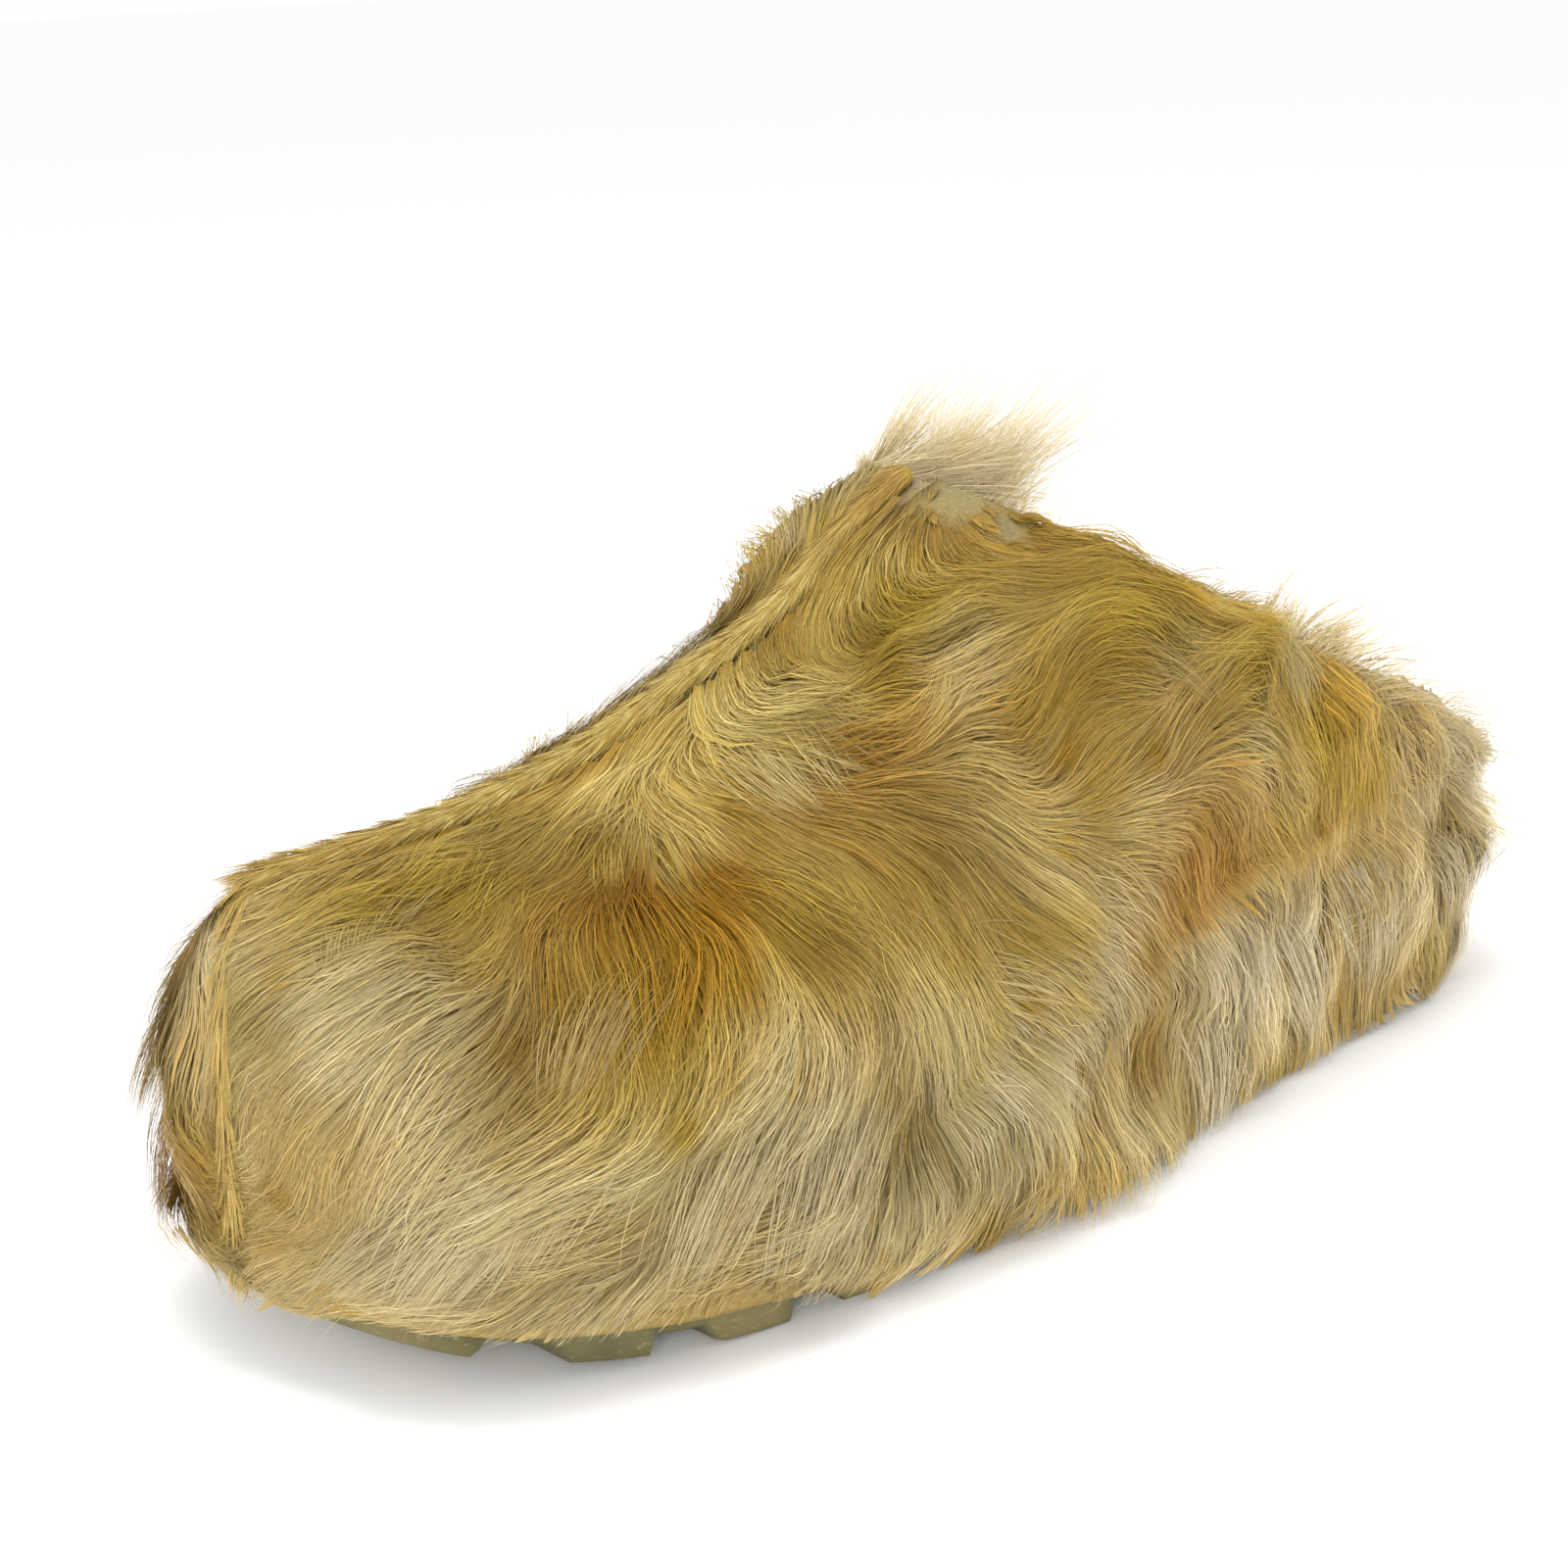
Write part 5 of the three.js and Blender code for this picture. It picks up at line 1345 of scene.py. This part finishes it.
def groove_depth(at):
    """How deep a groove runs at a place along the foot, from 0 to 1, with soft edges."""
    half = LUG_GROOVE / 2 / SOLE_LENGTH
    draft = 1.4 / SOLE_LENGTH
    depth = np.zeros_like(at)
    for centre, first, last in ((HEEL_REST_AT, -2, 1), (BALL_REST_AT, -2, 2)):
        for k in range(first, last + 1):
            groove = centre + (k + 0.5) * LUG_PITCH / SOLE_LENGTH
            inside = 1 - smooth(np.abs(at - groove), half, half + draft)
            depth = np.maximum(depth, inside)
    return depth


def make_outsole(material):
    """The rubber sole: loops from the floor to its top, set in at the grooves and the bevels."""
    places = ring_of_places(190)
    at = at_of(places)
    groove = groove_depth(at)
    scallop = EDGE_SCALLOP * groove
    rounding = TOE_ROUNDING * spring(at) ** 2
    low = underside(at) + LUG_DEPTH * groove
    top = outsole_top(at)
    # Each level: share of the height, rise over it, how far it is set in
    levels = [
        (0.0, 0.0, scallop + EDGE_BEVEL + rounding),
        (0.0, EDGE_BEVEL * 0.35, scallop + EDGE_BEVEL * 0.35 + rounding * 0.85),
        (0.0, EDGE_BEVEL, scallop + rounding * 0.6),
        (0.3, 0.0, scallop * 0.95 + rounding * 0.35),
        (0.52, 0.0, scallop * 0.8 + rounding * 0.15),
        (0.6, 0.0, scallop * 0.15),
        (0.64, 0.0, 0.0),
        (0.93, 0.0, 0.0),
        (0.98, 0.0, EDGE_BEVEL * 0.25),
        (1.0, 0.0, EDGE_BEVEL * 0.6),
    ]
    loops = []
    for share, rise, inset in levels:
        plan = outline(places, -inset)
        loops.append(np.column_stack([plan, blend(low, top, share) + rise]))
    return dress(stacked_loops("outsole_rubber", loops, 16), material, "rubber", "outsole")


def make_insole(material):
    """The leather sock, its edge raised into a cup at the heel and the arch."""
    places = ring_of_places(150)
    at = at_of(places)
    side = side_of(places)
    arch = np.where(side < 0, smooth(at, 0.2, 0.36) - smooth(at, 0.45, 0.62), 0)
    heel = 1 - smooth(at, 0.3, 0.6)
    cup = INSOLE_CUP * np.minimum(1.3, 0.25 + 0.55 * heel + 0.6 * arch)
    low = footbed_top(at) + GAP
    flat = low + INSOLE_THICKNESS
    margin = HIDE_WALL + GAP + 0.2
    # Each level: how far it is set in, height
    levels = [
        (margin, low),
        (margin, flat + cup - 0.9),
        (margin + 0.25, flat + cup - 0.3),
        (margin + 0.9, flat + cup),
        (margin + 2.5, flat + cup * 0.72),
        (margin + 5, flat + cup * 0.3),
        (margin + INSOLE_CUP_WIDTH, flat),
    ]
    loops = [np.column_stack([outline(places, np.full_like(at, -inset)), height]) for inset, height in levels]
    return dress(stacked_loops("insole_leather", loops, 20), material, "leather", "insole")


def half_places(side, count):
    """Places along one side, closer together at the throat."""
    even = np.linspace(0, 1, count)
    throat = turn_of(np.linspace(0.41, THROAT_AT, 9))
    places = np.unique(np.concatenate([even, throat, [turn_of(THROAT_AT + 1e-4)]]))
    return places if side > 0 else 2 - places[::-1]


def side_grid(side, columns, rows, top_limit=1.0):
    """Places of a grid over one side of the vamp, from the seam up to the topline or ridge."""
    places = half_places(side, columns)
    top = np.minimum(topline_w(np.where(places == 1, 1 - 1e-6, places)), top_limit)
    share = np.linspace(0, 1, rows)
    share = share * 0.6 + 0.4 * np.sin(share * np.pi / 2)
    c = np.repeat(places[None], rows, 0)
    return c, top[None] * share[:, None]


def raised(c, w, height):
    """Points at a height over the hide."""
    point, _, _, normal = hide_frame(c, w)
    return point + normal * np.asarray(height)[..., None]


def make_hide(side, material, lining):
    """One side of the hide wall, with the thin lining as a sheet of its own inside it."""
    name = SIDE_NAMES[side]
    c, w = side_grid(side, 80, 18)
    flat = np.zeros_like(c)
    hide = thick_sheet(f"hide_{name}", raised(c, w, flat), raised(c, w, flat - (HIDE_WALL - LINING_WALL)))
    dress(hide, material, "hide", "upper")
    sheet = thick_sheet(f"lining_{name}", raised(c, w, flat - (HIDE_WALL - LINING_WALL) - 0.05),
                        raised(c, w, flat - HIDE_WALL))
    dress(sheet, lining, "hide", "upper")


def bald_share(c, w):
    """1 where the outer coat is worn away, by the throat and along the topline, 0 elsewhere."""
    at = at_of(c)
    worn = 0
    for spot in BALD_SPOTS:
        worn = np.maximum(worn, mound(at, w, *spot))
    below_edge = smooth(w, topline_near(c) - 0.08, topline_near(c) - 0.03)
    for crescent_at, along in WORN_EDGES:
        worn = np.maximum(worn, np.exp(-(((at - crescent_at) / along) ** 2)) * below_edge)
    return np.where(side_of(c) > 0, np.clip(1.3 * worn, 0, 1), 0)


UNDERFUR_TINT = np.array((0.8, 0.7, 0.5))
UNDERFUR_SHARE = ROOT_SHARE - 0.06


def make_underfur(side, material):
    """The dense short fur under the hair of one side, down to skin where it is bald."""
    name = SIDE_NAMES[side]
    node = f"vamp_fur_{name}"
    c, w = side_grid(side, 110, 40, top_limit=0.97)
    edge = np.clip((topline_near(c) - w) / 0.05, 0, 1)
    thinnest = 0.5
    depth = thinnest + (coat_depth(c, w) * UNDERFUR_SHARE - thinnest) * edge * (1 - bald_share(c, w))
    piece = thick_sheet(f"underfur_{name}", raised(c, w, depth), raised(c, w, np.full_like(c, GAP)))
    tone = coat_colour(c, w, surface(c, w)) * UNDERFUR_TINT
    tone = blend(tone, BALD * 0.8, bald_share(c, w)[..., None])
    add_tone(piece, np.concatenate([tone.reshape(-1, 3)] * 2))
    dress(piece, material, "fur", node)


def make_band_underfur(material):
    """The dense short fur under the hair of the band, once round the foot."""
    columns = 220
    rows = 14
    c = np.repeat(np.linspace(0, 2, columns)[None], rows, 0)
    w = np.repeat(np.linspace(-1.0, -0.02, rows)[:, None], columns, 1)
    depth = band_depth(c, w) * UNDERFUR_SHARE
    piece = thick_sheet("underfur_band", raised(c, w, depth), raised(c, w, np.full_like(c, GAP)))
    tone = coat_colour(c, w, surface(c, w)) * UNDERFUR_TINT
    add_tone(piece, np.concatenate([tone.reshape(-1, 3)] * 2))
    dress(piece, material, "fur", "footbed_fur")


def seam_path(steps):
    """The centre seam: along the ridge from the throat, then down the toe to the band's hem."""
    at = np.linspace(THROAT_AT, SPINE_TOE_AT, 200)
    ridge = ridge_point(at)
    way = unit(np.gradient(ridge, axis=0))
    ridge_out = np.stack([-way[:, 2], np.zeros(len(at)), way[:, 0]], -1)
    w = np.linspace(HIGHEST_W, -0.95, 140)
    front, _, _, front_out = hide_frame(np.full_like(w, 1.0), w)
    points = np.concatenate([ridge, front])
    out = np.concatenate([ridge_out, front_out])
    length = np.concatenate([[0], np.cumsum(np.linalg.norm(np.diff(points, axis=0), axis=1))])
    even = np.linspace(0, length[-1], steps)
    path = np.stack([np.interp(even, length, points[:, i]) for i in range(3)], -1)
    out = unit(np.stack([np.interp(even, length, out[:, i]) for i in range(3)], -1))
    for _ in range(6):
        out[1:-1] = unit(out[:-2] + out[1:-1] * 2 + out[2:])
    return path, out, length[-1]


SEAM_SEED = 71
SEAM_HAIRS = 5000
SEAM_HAIR_STEPS = 4
PLAIT_PITCH = 3.2
PLAIT_HEIGHT = 0.6


def seam_hair_paths(draw, path, out, length):
    """Hairs laid along the seam and a little round it: paths, ways out, place of each root."""
    s = draw.uniform(0.002, 0.985, SEAM_HAIRS)
    round_it = draw.uniform(-1.6, 1.6, SEAM_HAIRS)
    index = s * (len(path) - 1)
    low = np.floor(index).astype(int)
    part = (index - low)[:, None]
    high = np.minimum(low + 1, len(path) - 1)
    base = blend(path[low], path[high], part)
    up = unit(blend(out[low], out[high], part))
    way = unit(path[high] - path[np.maximum(low - 1, 0)])
    across = np.cross(way, up)
    hair_length = draw.uniform(5, 10, SEAM_HAIRS)
    points = []
    normals = []
    for k in range(SEAM_HAIR_STEPS + 1):
        share = k / SEAM_HAIR_STEPS
        angle = round_it * (1 + 0.35 * share)
        radial = across * np.sin(angle)[:, None] + up * np.cos(angle)[:, None]
        size = blend(1.5, SEAM_HEIGHT * 0.85, share**0.6) * draw.uniform(0.85, 1.15)
        plait = PLAIT_HEIGHT * np.sin(s * length / PLAIT_PITCH * np.pi)
        run = hair_length * share * (0.9 + 0.1 * plait)
        points.append(base + way * run[:, None] + radial * (size + plait * share)[:, None] + up * 1.2)
        normals.append(radial)
    return np.stack(points, 1), np.stack(normals, 1), s


def make_seam(core_material, hair_material):
    """The raised seam: a rounded core with short tan hair laid along it like a plait."""
    path, out, length = seam_path(160)
    lifted_path = path + out * (SEAM_HEIGHT * 0.35)
    front = smooth(np.linspace(0, 1, len(path)), 0.66, 0.74)
    core = tube_along("seam_core", lifted_path, out, SEAM_HALF_WIDTH, SEAM_HEIGHT * (0.6 - 0.25 * front))
    tone = blend(TAN, STRAW, 0.5) * 0.85
    add_tone(core, np.tile(tone, (len(core.data.vertices), 1)))
    dress(core, core_material, "seam_fur", "centre_seam")
    draw = np.random.default_rng(SEAM_SEED)
    paths, normals, s = seam_hair_paths(draw, path, out, length)
    share = np.linspace(0, 1, SEAM_HAIR_STEPS + 1)[None, :, None]
    throat = 1 - smooth(s, 0.03, 0.16)
    pale = 1.0 - 0.9 * throat - 0.5 * smooth(s, 0.5, 0.62)
    pale = np.clip(pale + draw.normal(0, 0.15, SEAM_HAIRS), 0, 1)
    tint = blend(TAN, WHEAT, pale[:, None])[:, None]
    colours = tint * blend(0.85, 1.1, share) * (1 + draw.normal(0, 0.1, SEAM_HAIRS))[:, None, None]
    hair = ribbons("seam_hair", paths, normals, draw.uniform(-0.8, 0.8, SEAM_HAIRS),
                   HAIR_WIDTH * draw.uniform(0.9, 1.5, SEAM_HAIRS), colours, draw)
    dress(hair, hair_material, "seam_fur", "centre_seam")


# Stretches of the coat: name, seed, range of c, whether it covers the vamp, range of hair length,
# locks and small clumps, then wisps, fine hairs and guard hairs, and the meshes for the fine hairs
STRETCHES = (
    ("outer", 101, (0.0, 1.0), True, (19, 31), (110, 3000), (5000, 31000, 3200), 2),
    ("inner", 102, (1.0, 2.0), True, (19, 31), (110, 2000), (3500, 12000, 0), 1),
    ("band_outer", 103, (0.0, 1.0), False, (15, 27), (60, 1000), (2200, 10000, 1000), 1),
    ("band_inner", 104, (1.0, 2.0), False, (15, 27), (50, 700), (1600, 5000, 0), 1),
)
VAMP_W = (0.0, HIGHEST_W)
BAND_W = (-0.8, 0.02)
LOCK_HAIRS = 150
OUTER_EDGE_HAIRS = 2000
INNER_EDGE_HAIRS = 4800


def vamp_share(c, w):
    """Where hair grows on the vamp: below the topline and not on bald skin."""
    return (1 - bald_share(c, w)) * (w < topline_near(c) - 0.004)


def band_share(c, w):
    """Hair grows everywhere on the band."""
    return np.ones_like(c + w)


def make_coats(hair, wisp):
    """Every stretch of the coat, as wide wisps under fine hair, then the locks and the topline."""
    few = 1.0
    for name, seed, c_range, on_vamp, length, spacing, counts, parts in STRETCHES:
        wisps, hairs, guards = counts
        w_range = VAMP_W if on_vamp else BAND_W
        wanted = vamp_share if on_vamp else band_share
        node = f"vamp_fur_{name}" if on_vamp else "footbed_fur"
        region = Region(seed, c_range, w_range, wanted, float(on_vamp), length, spacing, [node])
        region.add_layer(f"wisps_{name}", int(wisps * few), (WISP_WIDTH * 0.6, WISP_WIDTH * 1.4),
                         (0.05, 0.55), 0.03, 0.0, 0.1, DEEP_TINT, wisp)
        if guards:
            region.add_layer(f"guard_hair_{name}", int(guards * few), (HAIR_WIDTH * 1.1, HAIR_WIDTH * 1.7),
                             (0.85, 1.15), 0.12, 0.1, 0.5, GUARD_PALE_AND_HIGHLIGHT_TINT, hair)
        region.add_layer(f"hair_{name}", int(hairs * few), (HAIR_WIDTH * 0.75, HAIR_WIDTH * 1.35),
                         (0.3, 1.08), 0.1, 0.06, 0.35, TOP_TINT, hair, parts)
    make_locks(hair, int(LOCK_HAIRS * few))
    make_edge_hair(hair, 1, int(OUTER_EDGE_HAIRS * few), OUTER_EDGE, ["vamp_fur_outer"])
    make_edge_hair(hair, -1, int(INNER_EDGE_HAIRS * few), INNER_EDGE, ["vamp_fur_inner"])


# Setting

CAMERA_PLACE = Vector((0.43385, 0.37547, 0.20712))
CAMERA_TARGET = Vector((0.0918, 0.0, 0.05))
CAMERA_ROLL = math.radians(-2.3)
CAMERA_LENS = 69.02
CAMERA_SHIFT = (-0.0664, 0.0419)
FLOOR_SIDE = 9.0

# Lights: name, place, target, size, power
LIGHTS = (
    ("key", (0.2, 0.05, 1.1), (0.09, 0, 0.05), 0.5, 4),
    ("fill", (0.9, 0.95, 0.35), (0.09, 0, 0.03), 0.8, 9),
    ("front", (1.0, -0.5, 0.4), (0.15, 0, 0.03), 0.6, 3),
    ("heel", (-0.8, 0.6, 0.3), (-0.03, 0.02, 0.04), 0.5, 2.5),
)


def make_camera():
    """The camera that was fitted to the photo's view of the shoe."""
    data = bpy.data.cameras.new("camera")
    data.sensor_width = 36
    data.lens = CAMERA_LENS
    data.shift_x, data.shift_y = CAMERA_SHIFT
    data.clip_end = 50
    camera = bpy.data.objects.new("camera", data)
    aim = (CAMERA_TARGET - CAMERA_PLACE).to_track_quat("-Z", "Y").to_matrix().to_4x4()
    camera.matrix_world = Matrix.Translation(CAMERA_PLACE) @ aim @ Matrix.Rotation(CAMERA_ROLL, 4, "Z")
    bpy.context.scene.collection.objects.link(camera)
    bpy.context.scene.camera = camera


def make_light(name, place, target, size, power):
    """A round soft light aimed at a target."""
    data = bpy.data.lights.new(name, "AREA")
    data.shape = "DISK"
    data.size = size
    data.energy = power
    light = bpy.data.objects.new(name, data)
    light.location = place
    light.rotation_euler = (Vector(target) - Vector(place)).to_track_quat("-Z", "Y").to_euler()
    bpy.context.scene.collection.objects.link(light)


def make_setting():
    """White floor, white surroundings and soft light from above."""
    side = FLOOR_SIDE
    corners = [(-side, -side, 0), (side, -side, 0), (side, side, 0), (-side, side, 0)]
    mesh = bpy.data.meshes.new("floor")
    mesh.from_pydata(corners, [], [(0, 1, 2, 3)])
    floor = bpy.data.objects.new("floor", mesh)
    bpy.context.scene.collection.objects.link(floor)
    material, _, shader = new_material("pale_floor", 0.9, specular=0.1)
    shader.inputs["Base Color"].default_value = (0.97, 0.97, 0.97, 1)
    mesh.materials.append(material)
    world = bpy.data.worlds.new("studio")
    world.use_nodes = True
    background = world.node_tree.nodes["Background"]
    background.inputs["Color"].default_value = (1, 1, 1, 1)
    background.inputs["Strength"].default_value = 1.0
    bpy.context.scene.world = world
    for light in LIGHTS:
        make_light(*light)
    bpy.context.scene.view_settings.view_transform = "Standard"


def main():
    make_camera()
    make_setting()
    hair = make_hair_material("fur_hair")
    seam_hair = make_hair_material("seam_hair", 0.6)
    wisp = make_wisp_material()
    underfur = make_underfur_material()
    hide = make_leather_material("hide_edge", linear(150, 132, 92), linear(186, 170, 126), 0.7)
    lining = make_leather_material("brown_lining", linear(84, 50, 26), linear(120, 78, 42), 0.55)
    insole = make_leather_material("insole_brown", linear(104, 72, 36), linear(142, 104, 60), 0.5)
    platform = make_leather_material("platform_wrap", linear(150, 132, 92), linear(180, 160, 118), 0.8)
    make_outsole(make_rubber_material())
    make_insole(insole)
    footbed = bpy.data.objects["footbed"]
    footbed.data.materials.clear()
    footbed.data.materials.append(platform)
    for side in (1, -1):
        make_hide(side, hide, lining)
        make_underfur(side, underfur)
    make_band_underfur(underfur)
    make_seam(underfur, seam_hair)
    make_coats(hair, wisp)


main()
